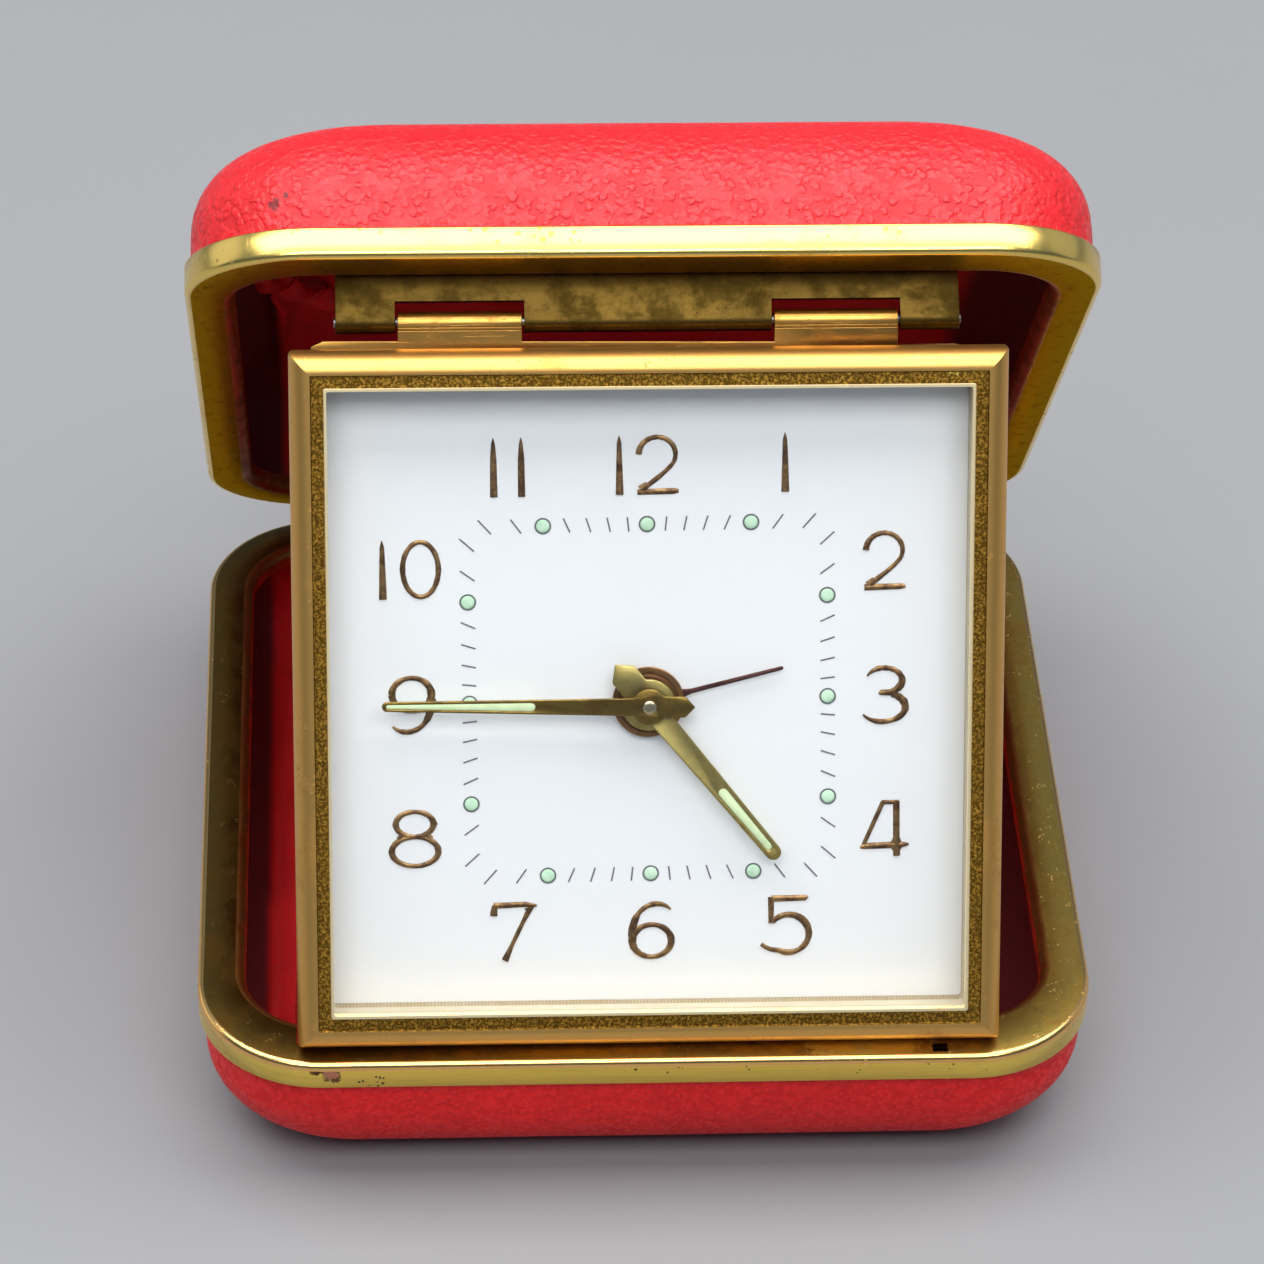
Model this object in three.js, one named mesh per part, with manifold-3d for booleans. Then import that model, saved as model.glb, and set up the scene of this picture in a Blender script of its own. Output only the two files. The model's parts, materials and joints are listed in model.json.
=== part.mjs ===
// Folding travel alarm clock: a square clock hinged inside a two-part clamshell case.
// Millimetres, +Z up, +Y away from the viewer. The origin is the centre of the flat underside.
import * as THREE from 'three';
import { mergeVertices } from 'three/addons/utils/BufferGeometryUtils.js';
import Module from 'manifold-3d';

const wasm = await Module();
wasm.setup();

// Case
const CASE_WIDTH = 75;
const CASE_DEPTH = 75;
const HALF_HEIGHT = 14;
const CASE_CORNER_RADIUS = 10.5;
const CASE_EDGE_RADIUS = 9;
const BAND_HEIGHT = 2.6;
const BAND_WALL = 0.5;
const RIM_SHEET = 0.45;
const FRONT_FLAT_WIDTH = 5.2;
const SIDE_FLAT_WIDTH = 4;
const RIM_LIP_DEPTH = 1.6;
const RIM_MOUTH_RADIUS = 6.8;
const RIM_EDGE_ROUND = 0.5;
const COVER_WALL = 0.8;
const SHELL_WALL = 0.45;
const LINING_WALL = 0.6;
const LAYER_GAP = 0.06;
const COVER_TOP_DROP = 0.6;
const SHELL_TOP_DROP = 0.6;
const LINING_TOP_DROP = 1.75;
const LINING_SIDE_GAP = 0.5;

// Hinge between the two case halves
const CASE_AXIS_OFFSET = 1;
const CLOSING_GAP = 0.3;
const CASE_HINGE_LENGTH = 40;
const CASE_KNUCKLE_COUNT = 5;
const CASE_KNUCKLE_RADIUS = 0.9;
const CASE_PIN_RADIUS = 0.45;
const CASE_LEAF_DROP = 2.45;
const LEAF_SHEET = 0.42;
const RUNNING_GAP = 0.08;
const SEAT_GAP = 0.06;
const KNUCKLE_END_GAP = 0.15;

// Hinge between the lid and the clock
const BRACKET_END_CLEARANCE = 1.5;
const BRACKET_SHEET = 0.5;
const BRACKET_ROOT_DEPTH = 1.4;
const CLOCK_PIN_RISE = 3.5;
const CLOCK_KNUCKLE_RADIUS = 0.9;
const CLOCK_PIN_RADIUS = 0.42;
const CLOCK_KNUCKLE_INSET = 10;
const CLOCK_KNUCKLE_LENGTH = 10;
const BRACKET_NOTCH_SIDE_GAP = 0.2;
const BRACKET_NOTCH_ROOT_GAP = 0.6;
const PIN_ABOVE_CLOCK = 1.8;
const PIN_BEHIND_FRONT = 4.7;
const LEAF_END_INSET = 1.8;
const LEAF_RISE_LEFT = 0.45;
const LEAF_RISE_RIGHT = 0.05;
const LEAF_FOOT_DEPTH = 3.2;
const CLOCK_FOOT_PLACE = 2.4;
const CLOCK_FOOT_GAP = 0.25;
const FOOT_LEDGE_WIDTH = 2.6;
const FOOT_NOTCH_MARGIN = 0.5;

// Bezel, crystal and dial, all depths measured back from the bezel's crown
const CLOCK_SIZE = 58;
const BEZEL_DEPTH = 2.5;
const BEZEL_CORNER_RADIUS = 0.45;
const BEZEL_BEAD_RADIUS = 0.8;
const BEZEL_SLOPE_FOOT = 0.8;
const BEZEL_LIP_FACE = 0.6;
const BEZEL_LIP_WIDTH = 0.22;
const BEZEL_BACK_DEPTH = 0.98;
const BEZEL_WALL = 0.6;
const BEZEL_WIDTH = 3.03;
const CRYSTAL_THICKNESS = 0.55;
const DIAL_DEPTH = 4.6;
const DIAL_THICKNESS = 0.35;
const DIAL_DROP = 0.6;
const DIAL_FOOT_RADIUS = 0.6;
const DIAL_FOOT_INSET = 4.97;
const SURROUND_WALL = 0.75;

// Clock case and movement plates
const CASE_INSET = 1.6;
const CLOCK_CASE_WALL = 0.5;
const CLOCK_CASE_RADIUS = 1.6;
const BACK_SPACE = 1.15;
const LEDGE_WIDTH = 1.6;
const MOTION_SPACE = 1.75;
const PLATE_THICKNESS = 0.7;
const TRAIN_SPACE = 3.3;
const PILLAR_INSET = 3.5;
const PILLAR_RADIUS = 1.6;
const BACK_COVER_THICKNESS = 0.6;
const SCREW_RADIUS = 0.6;
const SCREW_HEAD_RADIUS = 1.3;
const SCREW_HEAD_HEIGHT = 0.5;
const SCREW_LENGTH = 1.9;
const SCREW_SLOT_WIDTH = 0.35;

// Wheels
const WHEEL_SHEET = 0.4;
const PINION_LENGTH = 0.7;
const WHEEL_MODULE = 0.3;
const BARREL_MODULE = 0.46;
const TOOTH_BACKLASH = 0.06;
const CENTRE_PINION_LEAVES = 8;
const GREAT_WHEEL_TEETH = 44;
const CENTRE_WHEEL_TEETH = 44;
const THIRD_PINION_LEAVES = 8;
const THIRD_WHEEL_TEETH = 36;
const FOURTH_WHEEL_TEETH = 32;
const CANNON_LEAVES = 10;
const MINUTE_WHEEL_TEETH = 30;
const MINUTE_PINION_LEAVES = 8;
const HOUR_WHEEL_TEETH = 32;
const ALARM_MODULE = 0.32;
const ALARM_PINION_LEAVES = 12;
const ALARM_WHEEL_TEETH = 36;
const ARBOR_RADIUS = 0.45;
const CENTRE_ARBOR_RADIUS = 0.55;
const MINUTE_PIPE_WALL = 0.3;
const HOUR_PIPE_WALL = 0.25;
const ALARM_PIPE_WALL = 0.25;
const BARREL_DRUM_MARGIN = 0.7;
const BARREL_ANGLE = 205;
const THIRD_ANGLE = 75;
const FOURTH_ANGLE = 130;
const ESCAPE_ANGLE = 82;
const MINUTE_WHEEL_ANGLE = 215;
const ALARM_SET_ANGLE = 125;
const ESCAPE_RADIUS = 3;
const ESCAPE_TEETH = 15;
const BALANCE_X = 9.5;
const BALANCE_Y = 16;
const BALANCE_RADIUS = 6.2;
const BALANCE_RIM_WIDTH = 1;
const HAIRSPRING_TURNS = 4;
const HAIRSPRING_INNER = 0.95;
const HAIRSPRING_PITCH = 0.6;
const HAIRSPRING_BAND = 0.16;
const HAMMER_SIDE_INSET = 6.3;
const HAMMER_TOP_INSET = 20.3;
const HAMMER_LENGTH = 12.5;
const HAMMER_LEAN = 2.2;
const HAMMER_ARM_WIDTH = 1;
const HAMMER_ARM_DEPTH = 0.8;
const HAMMER_HEAD_RADIUS = 1.3;
const HAMMER_HEAD_DEPTH = 1.6;

// Hands
const ALARM_HAND_HEIGHT = 0.55;
const HOUR_HAND_HEIGHT = 1.7;
const MINUTE_HAND_HEIGHT = 2.45;
const ARBOR_TIP_HEIGHT = 2.9;
const HAND_SHEET = 0.22;
const MINUTE_HAND_LENGTH = 21.8;
const MINUTE_HAND_TAIL = 3.75;
const HOUR_HAND_LENGTH = 16.2;
const HOUR_HAND_TAIL = 4.4;
const ALARM_HAND_LENGTH = 11.4;
const ALARM_BOSS_RADIUS = 2.7;
const ALARM_HAND_WIDTH = 0.36;
const ALARM_ROOT_WIDTH = 1;
const ALARM_ROOT_REACH = 1;
const MINUTE_ROOT_WIDTH = 1.48;
const MINUTE_TIP_WIDTH = 1;
const MINUTE_BOSS_RADIUS = 1.6;
const MINUTE_TAIL_WIDTH = 1.75;
const MINUTE_SLOT_START = 9.3;
const MINUTE_SLOT_END = 21.3;
const MINUTE_SLOT_ROOT = 0.8;
const MINUTE_SLOT_TIP = 0.42;
const HOUR_ROOT_WIDTH = 1.95;
const HOUR_TIP_WIDTH = 1.45;
const HOUR_BOSS_RADIUS = 2.15;
const HOUR_TAIL_WIDTH = 2.3;
const HOUR_SLOT_START = 9.4;
const HOUR_SLOT_END = 15.45;
const HOUR_SLOT_ROOT = 0.85;
const HOUR_SLOT_TIP = 0.5;
const MINUTE_REST_ANGLE = 271.2;
const HOUR_REST_ANGLE = 142.2;
const ALARM_REST_ANGLE = 76;

// Back fittings
const KNOB_RADIUS = 3.4;
const KNOB_HEIGHT = 2.6;
const KNOB_GRIPS = 16;
const KNOB_STAND_OFF = 0.5;
const KEY_WING_REACH = 4.6;
const KEY_WING_HEIGHT = 3.4;
const KEY_WING_THICKNESS = 0.8;
const KEY_HUB_RADIUS = 1.4;
const REGULATOR_LENGTH = 6.5;
const REGULATOR_SWING = 20;
const STOP_X = 0;
const STOP_TOP_INSET = 4.4;
const STOP_TRAVEL = 3;
const TIME_KEY_ANGLE = 60;
const ALARM_KEY_ANGLE = 120;
const ROUND_STEPS = 16;

const deg = THREE.MathUtils.degToRad;

// Values that follow from the ones above
const rimInset = BAND_WALL + LAYER_GAP;
const mouthHalfWidth = CASE_WIDTH / 2 - SIDE_FLAT_WIDTH;
const mouthHalfDepth = (CASE_DEPTH - FRONT_FLAT_WIDTH - SIDE_FLAT_WIDTH) / 2;
const mouthCentre = (FRONT_FLAT_WIDTH - SIDE_FLAT_WIDTH) / 2;
const rimTop = HALF_HEIGHT;
const axisY = CASE_DEPTH / 2 + CASE_AXIS_OFFSET;
const axisZ = rimTop + CLOSING_GAP / 2;
const bracketFace = CASE_DEPTH / 2 - FRONT_FLAT_WIDTH - SEAT_GAP;
const pinAlong = bracketFace + CASE_DEPTH / 2 + CASE_AXIS_OFFSET - CLOCK_KNUCKLE_RADIUS;
const pinDrop = CLOCK_PIN_RISE - CLOSING_GAP / 2;
const clockHalf = CLOCK_SIZE / 2;
const openingHalf = clockHalf - BEZEL_WIDTH;
const caseHalf = clockHalf - CASE_INSET;
const caseInner = caseHalf - CLOCK_CASE_WALL;
const leafHalfLength = clockHalf - LEAF_END_INSET;
const bracketHalfLength = mouthHalfWidth - RIM_MOUTH_RADIUS - BRACKET_END_CLEARANCE;
const clockKnuckleCentre = bracketHalfLength - CLOCK_KNUCKLE_INSET;
const dialFootReach = openingHalf - DIAL_FOOT_INSET;
const pillarReach = caseInner - PILLAR_INSET;
const stopY = caseInner - STOP_TOP_INSET;
const crystalHalf = caseInner - LAYER_GAP * 2;
const crystalDepth = BEZEL_BACK_DEPTH + LAYER_GAP;
const surroundDepth = crystalDepth + CRYSTAL_THICKNESS + LAYER_GAP;
const motionDepth = DIAL_DEPTH + DIAL_THICKNESS;
const frontPlateDepth = motionDepth + MOTION_SPACE;
const trainFront = frontPlateDepth + PLATE_THICKNESS;
const backPlateDepth = trainFront + TRAIN_SPACE;
const clockCaseDepth = backPlateDepth + PLATE_THICKNESS + BACK_SPACE;
const backCoverDepth = clockCaseDepth + LAYER_GAP;
const backFace = backCoverDepth + BACK_COVER_THICKNESS;

function polar(centre, radius, angle) {
  const a = deg(angle);
  return new THREE.Vector2(centre.x + radius * Math.cos(a), centre.y + radius * Math.sin(a));
}

function pitchDistance(module, teethA, teethB) {
  return (module * (teethA + teethB)) / 2;
}

const handCentre = new THREE.Vector2(0, -DIAL_DROP);
const barrelDistance = pitchDistance(BARREL_MODULE, GREAT_WHEEL_TEETH, CENTRE_PINION_LEAVES);
const timeBarrelAt = polar(handCentre, barrelDistance, BARREL_ANGLE);
const alarmBarrelAt = polar(handCentre, tipRadius(BARREL_MODULE, GREAT_WHEEL_TEETH)
  + tipRadius(BARREL_MODULE, CENTRE_PINION_LEAVES) + RUNNING_GAP * 2, 180 - BARREL_ANGLE);
const thirdAt = polar(handCentre, pitchDistance(WHEEL_MODULE, CENTRE_WHEEL_TEETH, THIRD_PINION_LEAVES),
  THIRD_ANGLE);
const minuteWheelAt = polar(handCentre, pitchDistance(WHEEL_MODULE, CANNON_LEAVES, MINUTE_WHEEL_TEETH),
  MINUTE_WHEEL_ANGLE);
const alarmSetAt = polar(handCentre, pitchDistance(ALARM_MODULE, ALARM_PINION_LEAVES, ALARM_WHEEL_TEETH),
  ALARM_SET_ANGLE);
const balanceAt = new THREE.Vector2(BALANCE_X, BALANCE_Y);
const hammerAt = new THREE.Vector2(caseInner - HAMMER_SIDE_INSET, caseInner - HAMMER_TOP_INSET);

function tipRadius(module, teeth) {
  return (module * (teeth + 1.6)) / 2;
}

const thirdTip = tipRadius(WHEEL_MODULE, THIRD_WHEEL_TEETH);
const pinionTip = tipRadius(WHEEL_MODULE, THIRD_PINION_LEAVES);
const fourthAt = polar(thirdAt, thirdTip + pinionTip + RUNNING_GAP, FOURTH_ANGLE);
const fourthTip = tipRadius(WHEEL_MODULE, FOURTH_WHEEL_TEETH);
const escapeAt = polar(fourthAt, fourthTip + pinionTip + RUNNING_GAP, ESCAPE_ANGLE);

// Finishes
function finish(color, roughness, metalness, extra = {}) {
  return new THREE.MeshStandardMaterial({ color, roughness, metalness, ...extra });
}
const finishes = {
  leather: () => finish(0xc8202a, 0.55, 0),
  cloth: () => finish(0x8e0f18, 0.8, 0),
  steel: () => finish(0x8b8d90, 0.4, 1),
  gilt: () => finish(0xb08d3e, 0.32, 1),
  wornGilt: () => finish(0x8f7436, 0.42, 1),
  dullBrass: () => finish(0x7d7340, 0.45, 1),
  dialWhite: () => finish(0xf1f2f0, 0.5, 0),
  cream: () => finish(0xe8e0c4, 0.5, 0),
  clear: () => finish(0xffffff, 0.05, 0, { transparent: true, opacity: 0.25 }),
  brass: () => finish(0xb7923f, 0.35, 1),
  bronzed: () => finish(0x3d2415, 0.4, 0.8),
  nickel: () => finish(0xb9babd, 0.3, 1),
};

// Solids from rings of points, from outlines and from profiles
function ringOf(halfWidth, halfDepth, radius, z, steps, centreY = 0) {
  const r = Math.max(Math.min(radius, halfWidth, halfDepth), 0.05);
  const points = [];
  const corners = [[1, 1, 0], [-1, 1, 90], [-1, -1, 180], [1, -1, 270]];
  for (const [sx, sy, start] of corners) {
    for (let k = 0; k <= steps; k += 1) {
      const a = deg(start + (90 * k) / steps);
      const x = sx * (halfWidth - r) + r * Math.cos(a);
      const y = sy * (halfDepth - r) + r * Math.sin(a) + centreY;
      points.push(new THREE.Vector3(x, y, z));
    }
  }
  return points;
}

// Rings run up the outside; a capped body closes its first and last ring, a frame joins them.
function loft(rings, capped) {
  const count = rings[0].length;
  const positions = rings.flat().flatMap((p) => [p.x, p.y, p.z]);
  const index = [];
  const bands = capped ? rings.length - 1 : rings.length;
  for (let i = 0; i < bands; i += 1) {
    const below = i * count;
    const above = ((i + 1) % rings.length) * count;
    for (let k = 0; k < count; k += 1) {
      const next = (k + 1) % count;
      index.push(below + k, below + next, above + next, below + k, above + next, above + k);
    }
  }
  if (capped) {
    const last = (rings.length - 1) * count;
    for (let k = 1; k < count - 1; k += 1) {
      index.push(0, k + 1, k, last, last + k, last + k + 1);
    }
  }
  const geometry = new THREE.BufferGeometry();
  geometry.setAttribute('position', new THREE.Float32BufferAttribute(positions, 3));
  geometry.setIndex(index);
  return geometry;
}

function slab(shape, low, high, curveSteps = 6) {
  const geometry = new THREE.ExtrudeGeometry(shape, {
    depth: high - low, bevelEnabled: false, curveSegments: curveSteps, steps: 1,
  });
  geometry.translate(0, 0, low);
  return geometry;
}

function disc(radius, low, high, at = { x: 0, y: 0 }, steps = ROUND_STEPS) {
  const geometry = new THREE.CylinderGeometry(radius, radius, high - low, steps);
  geometry.rotateX(Math.PI / 2);
  geometry.translate(at.x, at.y, (low + high) / 2);
  return geometry;
}

function block(x0, x1, y0, y1, z0, z1) {
  const geometry = new THREE.BoxGeometry(x1 - x0, y1 - y0, z1 - z0);
  geometry.translate((x0 + x1) / 2, (y0 + y1) / 2, (z0 + z1) / 2);
  return geometry;
}

function rodAlongX(radius, x0, x1, y, z, steps = ROUND_STEPS) {
  const geometry = new THREE.CylinderGeometry(radius, radius, x1 - x0, steps);
  geometry.rotateZ(Math.PI / 2);
  geometry.translate((x0 + x1) / 2, y, z);
  return geometry;
}

function toSolid(geometry) {
  const plain = geometry.clone();
  plain.deleteAttribute('normal');
  plain.deleteAttribute('uv');
  const merged = mergeVertices(plain, 1e-4);
  return new wasm.Manifold(new wasm.Mesh({
    numProp: 3,
    vertProperties: Float32Array.from(merged.attributes.position.array),
    triVerts: Uint32Array.from(merged.index.array),
  }));
}

function fromSolid(solid) {
  const mesh = solid.getMesh();
  const geometry = new THREE.BufferGeometry();
  geometry.setAttribute('position', new THREE.Float32BufferAttribute(mesh.vertProperties, 3));
  geometry.setIndex(new THREE.Uint32BufferAttribute(mesh.triVerts, 1));
  return geometry;
}

function combine(bodies, tools = []) {
  let solid = toSolid(bodies[0]);
  for (const body of bodies.slice(1)) {
    solid = solid.add(toSolid(body));
  }
  for (const tool of tools) {
    solid = solid.subtract(toSolid(tool));
  }
  return fromSolid(solid);
}

function piece(name, geometry, material, parent) {
  geometry.computeVertexNormals();
  const mesh = new THREE.Mesh(geometry, material());
  mesh.name = name;
  parent.add(mesh);
  return mesh;
}

function roundOutline(radius, at = { x: 0, y: 0 }) {
  const path = new THREE.Path();
  path.absarc(at.x, at.y, radius, 0, Math.PI * 2, true);
  return path;
}

function toothOutline(module, teeth, phase = 0) {
  const pitch = (module * teeth) / 2;
  const root = pitch - module * 1.05;
  const tip = tipRadius(module, teeth);
  const step = (2 * Math.PI) / teeth;
  const halfRoot = step * 0.3 - TOOTH_BACKLASH / 2 / pitch;
  const halfTip = step * 0.1;
  const shape = new THREE.Shape();
  for (let k = 0; k < teeth; k += 1) {
    const middle = k * step + deg(phase);
    const points = [[root, -halfRoot], [tip, -halfTip], [tip, halfTip], [root, halfRoot]];
    points.forEach(([r, a], i) => {
      const x = r * Math.cos(middle + a);
      const y = r * Math.sin(middle + a);
      if (k === 0 && i === 0) {
        shape.moveTo(x, y);
      } else {
        shape.lineTo(x, y);
      }
    });
  }
  shape.closePath();
  return shape;
}

// The phase that puts a gap of one wheel opposite a tooth of the other along their centre line
function meshPhase(towards, teeth, toothThere) {
  const step = 360 / teeth;
  return towards + (toothThere ? 0 : step / 2);
}

// Case halves, drawn with the rim plane at z = 0 and the shell below it
function panRings(inset, wall, topDrop, steps) {
  const halfWidth = CASE_WIDTH / 2 - inset;
  const halfDepth = CASE_DEPTH / 2 - inset;
  const corner = CASE_CORNER_RADIUS - inset;
  const layer = inset - rimInset;
  const arc = CASE_EDGE_RADIUS - layer;
  const floor = -HALF_HEIGHT + layer;
  const rings = [];
  const wallRings = (offset) => {
    const r = arc - offset;
    const out = [];
    for (let k = 0; k <= steps; k += 1) {
      const a = deg((90 * k) / steps);
      const shrink = offset + r - r * Math.sin(a);
      const z = floor + offset + r - r * Math.cos(a);
      out.push(ringOf(halfWidth - shrink, halfDepth - shrink, corner - shrink, z, 5));
    }
    out.push(ringOf(halfWidth - offset, halfDepth - offset, corner - offset, -topDrop, 5));
    return out;
  };
  rings.push(...wallRings(0));
  rings.push(...wallRings(wall).reverse());
  return rings;
}

function rimRings() {
  const outer = (inset, z) => ringOf(CASE_WIDTH / 2 - inset, CASE_DEPTH / 2 - inset,
    CASE_CORNER_RADIUS - inset, z, 7);
  const mouth = (grow, z) => ringOf(mouthHalfWidth + grow, mouthHalfDepth + grow,
    RIM_MOUTH_RADIUS + grow, z, 7, mouthCentre);
  const bend = RIM_EDGE_ROUND * 0.3;
  return [
    outer(0, -BAND_HEIGHT),
    outer(0, -RIM_EDGE_ROUND),
    outer(bend, -bend),
    outer(RIM_EDGE_ROUND, 0),
    mouth(RIM_SHEET, 0),
    mouth(RIM_SHEET * 0.3, -RIM_SHEET * 0.3),
    mouth(0, -RIM_SHEET),
    mouth(0, -RIM_LIP_DEPTH),
    mouth(RIM_SHEET, -RIM_LIP_DEPTH),
    mouth(RIM_SHEET, -RIM_SHEET),
    outer(BAND_WALL, -RIM_SHEET),
    outer(BAND_WALL, -BAND_HEIGHT),
  ];
}

function clockSeatNotch() {
  const half = clockHalf + FOOT_NOTCH_MARGIN;
  const front = -CASE_DEPTH / 2 + FOOT_LEDGE_WIDTH;
  const back = -CASE_DEPTH / 2 + FRONT_FLAT_WIDTH + RIM_SHEET;
  return block(-half, half, front, back, -RIM_LIP_DEPTH - 1, 1);
}

function caseHalfPieces(prefix, group, rimTools) {
  const shellInset = rimInset + COVER_WALL + LAYER_GAP;
  const liningInset = shellInset + SHELL_WALL + LAYER_GAP + LINING_SIDE_GAP;
  piece(`${prefix}_cover`, loft(panRings(rimInset, COVER_WALL, COVER_TOP_DROP, 7), true),
    finishes.leather, group);
  piece(`${prefix}_shell`, loft(panRings(shellInset, SHELL_WALL, SHELL_TOP_DROP, 5), true),
    finishes.steel, group);
  piece(`${prefix}_lining`, loft(panRings(liningInset, LINING_WALL, LINING_TOP_DROP, 5), true),
    finishes.cloth, group);
  const rim = loft(rimRings(), false);
  piece(`${prefix}_rim`, rimTools.length ? combine([rim], rimTools) : rim, finishes.gilt, group);
}

// The case hinge leaf, drawn about its axis with the band in front of it and below
function caseLeaf(name, group, first) {
  const pitch = CASE_HINGE_LENGTH / CASE_KNUCKLE_COUNT;
  const plateFront = -CASE_AXIS_OFFSET + SEAT_GAP;
  const plateBack = plateFront + LEAF_SHEET;
  const top = -CLOSING_GAP / 2;
  const clear = CASE_KNUCKLE_RADIUS + RUNNING_GAP * 2;
  const half = CASE_HINGE_LENGTH / 2;
  const bodies = [block(-half, half, plateFront, plateBack, top - CASE_LEAF_DROP, -clear)];
  const bores = [];
  for (let k = first; k < CASE_KNUCKLE_COUNT; k += 2) {
    const x0 = -half + k * pitch + KNUCKLE_END_GAP / 2;
    const x1 = x0 + pitch - KNUCKLE_END_GAP;
    bodies.push(rodAlongX(CASE_KNUCKLE_RADIUS, x0, x1, 0, 0));
    bodies.push(block(x0, x1, plateFront, plateBack, -clear - RUNNING_GAP, 0));
    bores.push(rodAlongX(CASE_PIN_RADIUS + RUNNING_GAP, x0 - 1, x1 + 1, 0, 0));
  }
  piece(name, combine(bodies, bores), finishes.gilt, group);
}

function buildBase(root) {
  const half = new THREE.Group();
  half.position.z = rimTop;
  root.add(half);
  caseHalfPieces('base', half, [clockSeatNotch()]);
  catchSpring(half);
  const hinge = new THREE.Group();
  hinge.position.set(0, axisY, axisZ);
  root.add(hinge);
  caseLeaf('base_hinge_leaf', hinge, 0);
  const pinHalf = CASE_HINGE_LENGTH / 2 + KNUCKLE_END_GAP;
  piece('case_hinge_pin', rodAlongX(CASE_PIN_RADIUS, -pinHalf, pinHalf, 0, 0), finishes.steel, hinge);
}

// A sprung tongue with two ears, hung inside the front band under the flat
function catchSpring(half) {
  const earHalf = 4.85;
  const slotHalf = 1.75;
  const sheet = 0.3;
  const drop = 4.2;
  const back = -CASE_DEPTH / 2 + FOOT_LEDGE_WIDTH + 1.2;
  const root = -CASE_DEPTH / 2 + BAND_WALL + COVER_WALL + SHELL_WALL + 4 * LAYER_GAP;
  const top = -RIM_SHEET - LAYER_GAP;
  const bodies = [
    block(-earHalf, earHalf, root, root + sheet, -drop, top),
    block(-earHalf, -slotHalf, root, back, top - sheet, top),
    block(slotHalf, earHalf, root, back, top - sheet, top),
  ];
  piece('catch_spring', combine(bodies), finishes.dullBrass, half);
}

function buildLid(lid) {
  const half = new THREE.Group();
  half.position.set(0, -axisY, CLOSING_GAP / 2);
  half.rotation.y = Math.PI;
  lid.add(half);
  caseHalfPieces('lid', half, []);
  const leaf = new THREE.Group();
  leaf.rotation.y = Math.PI;
  lid.add(leaf);
  caseLeaf('lid_hinge_leaf', leaf, 1);
  const bracket = new THREE.Group();
  bracket.position.set(0, -pinAlong, -pinDrop);
  lid.add(bracket);
  clockBracket(bracket);
}

// The bracket stands out of the lid; here the pin axis is the origin and -z points out of the lid
function clockBracket(group) {
  const plateOuter = -CLOCK_KNUCKLE_RADIUS;
  const plateInner = plateOuter + BRACKET_SHEET;
  const root = CLOCK_PIN_RISE + BRACKET_ROOT_DEPTH;
  const half = bracketHalfLength;
  const notchHalf = CLOCK_KNUCKLE_LENGTH / 2 + BRACKET_NOTCH_SIDE_GAP;
  const notchTop = CLOCK_KNUCKLE_RADIUS + BRACKET_NOTCH_ROOT_GAP;
  const bodies = [
    block(-half, half, plateOuter, plateInner, 0, root),
    rodAlongX(CLOCK_KNUCKLE_RADIUS, -half, half, 0, 0),
  ];
  const tools = [rodAlongX(CLOCK_PIN_RADIUS + RUNNING_GAP, -half - 1, half + 1, 0, 0)];
  for (const side of [-1, 1]) {
    const middle = side * clockKnuckleCentre;
    tools.push(block(middle - notchHalf, middle + notchHalf, -2, 2, -2, notchTop));
  }
  piece('clock_bracket', combine(bodies, tools), finishes.dullBrass, group);
  const pin = rodAlongX(CLOCK_PIN_RADIUS, -half - KNUCKLE_END_GAP, half + KNUCKLE_END_GAP, 0, 0);
  piece('clock_hinge_pin', pin, finishes.steel, group);
}

// The clock's own leaf: two knuckles, a plate behind the bezel and a foot on top of the case
function clockLeaf(group) {
  const plateFront = -CLOCK_KNUCKLE_RADIUS;
  const plateBack = plateFront + LEAF_SHEET;
  const footTop = -PIN_ABOVE_CLOCK - CASE_INSET + LEAF_SHEET + SEAT_GAP;
  const footLow = footTop - LEAF_SHEET;
  const bezelTop = -PIN_ABOVE_CLOCK;
  const half = leafHalfLength;
  const right = clockKnuckleCentre + CLOCK_KNUCKLE_LENGTH / 2;
  const plate = new THREE.Shape();
  plate.moveTo(-half, footLow);
  plate.lineTo(right, footLow);
  plate.lineTo(right, bezelTop + LEAF_RISE_RIGHT);
  plate.lineTo(-half + 1, bezelTop + LEAF_RISE_LEFT);
  plate.lineTo(-half, bezelTop);
  plate.closePath();
  const upright = slab(plate, 0, LEAF_SHEET);
  upright.rotateX(Math.PI / 2);
  upright.translate(0, plateBack, 0);
  const bodies = [
    upright,
    block(-half + 1, right - 1, plateFront, plateFront + LEAF_FOOT_DEPTH, footLow, footTop),
  ];
  const bores = [];
  for (const side of [-1, 1]) {
    const x0 = side * clockKnuckleCentre - CLOCK_KNUCKLE_LENGTH / 2;
    const x1 = x0 + CLOCK_KNUCKLE_LENGTH;
    bodies.push(rodAlongX(CLOCK_KNUCKLE_RADIUS, x0, x1, 0, 0));
    bodies.push(block(x0, x1, plateFront, plateBack, footLow, 0));
    bores.push(rodAlongX(CLOCK_PIN_RADIUS + RUNNING_GAP, x0 - 1, x1 + 1, 0, 0));
  }
  piece('clock_hinge_leaf', combine(bodies, bores), finishes.gilt, group);
}

// Clock pieces, drawn facing +z with the bezel's crown at z = 0
function squareRing(half, radius, depth, steps = 2) {
  return ringOf(half, half, radius, -depth, steps);
}

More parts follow.
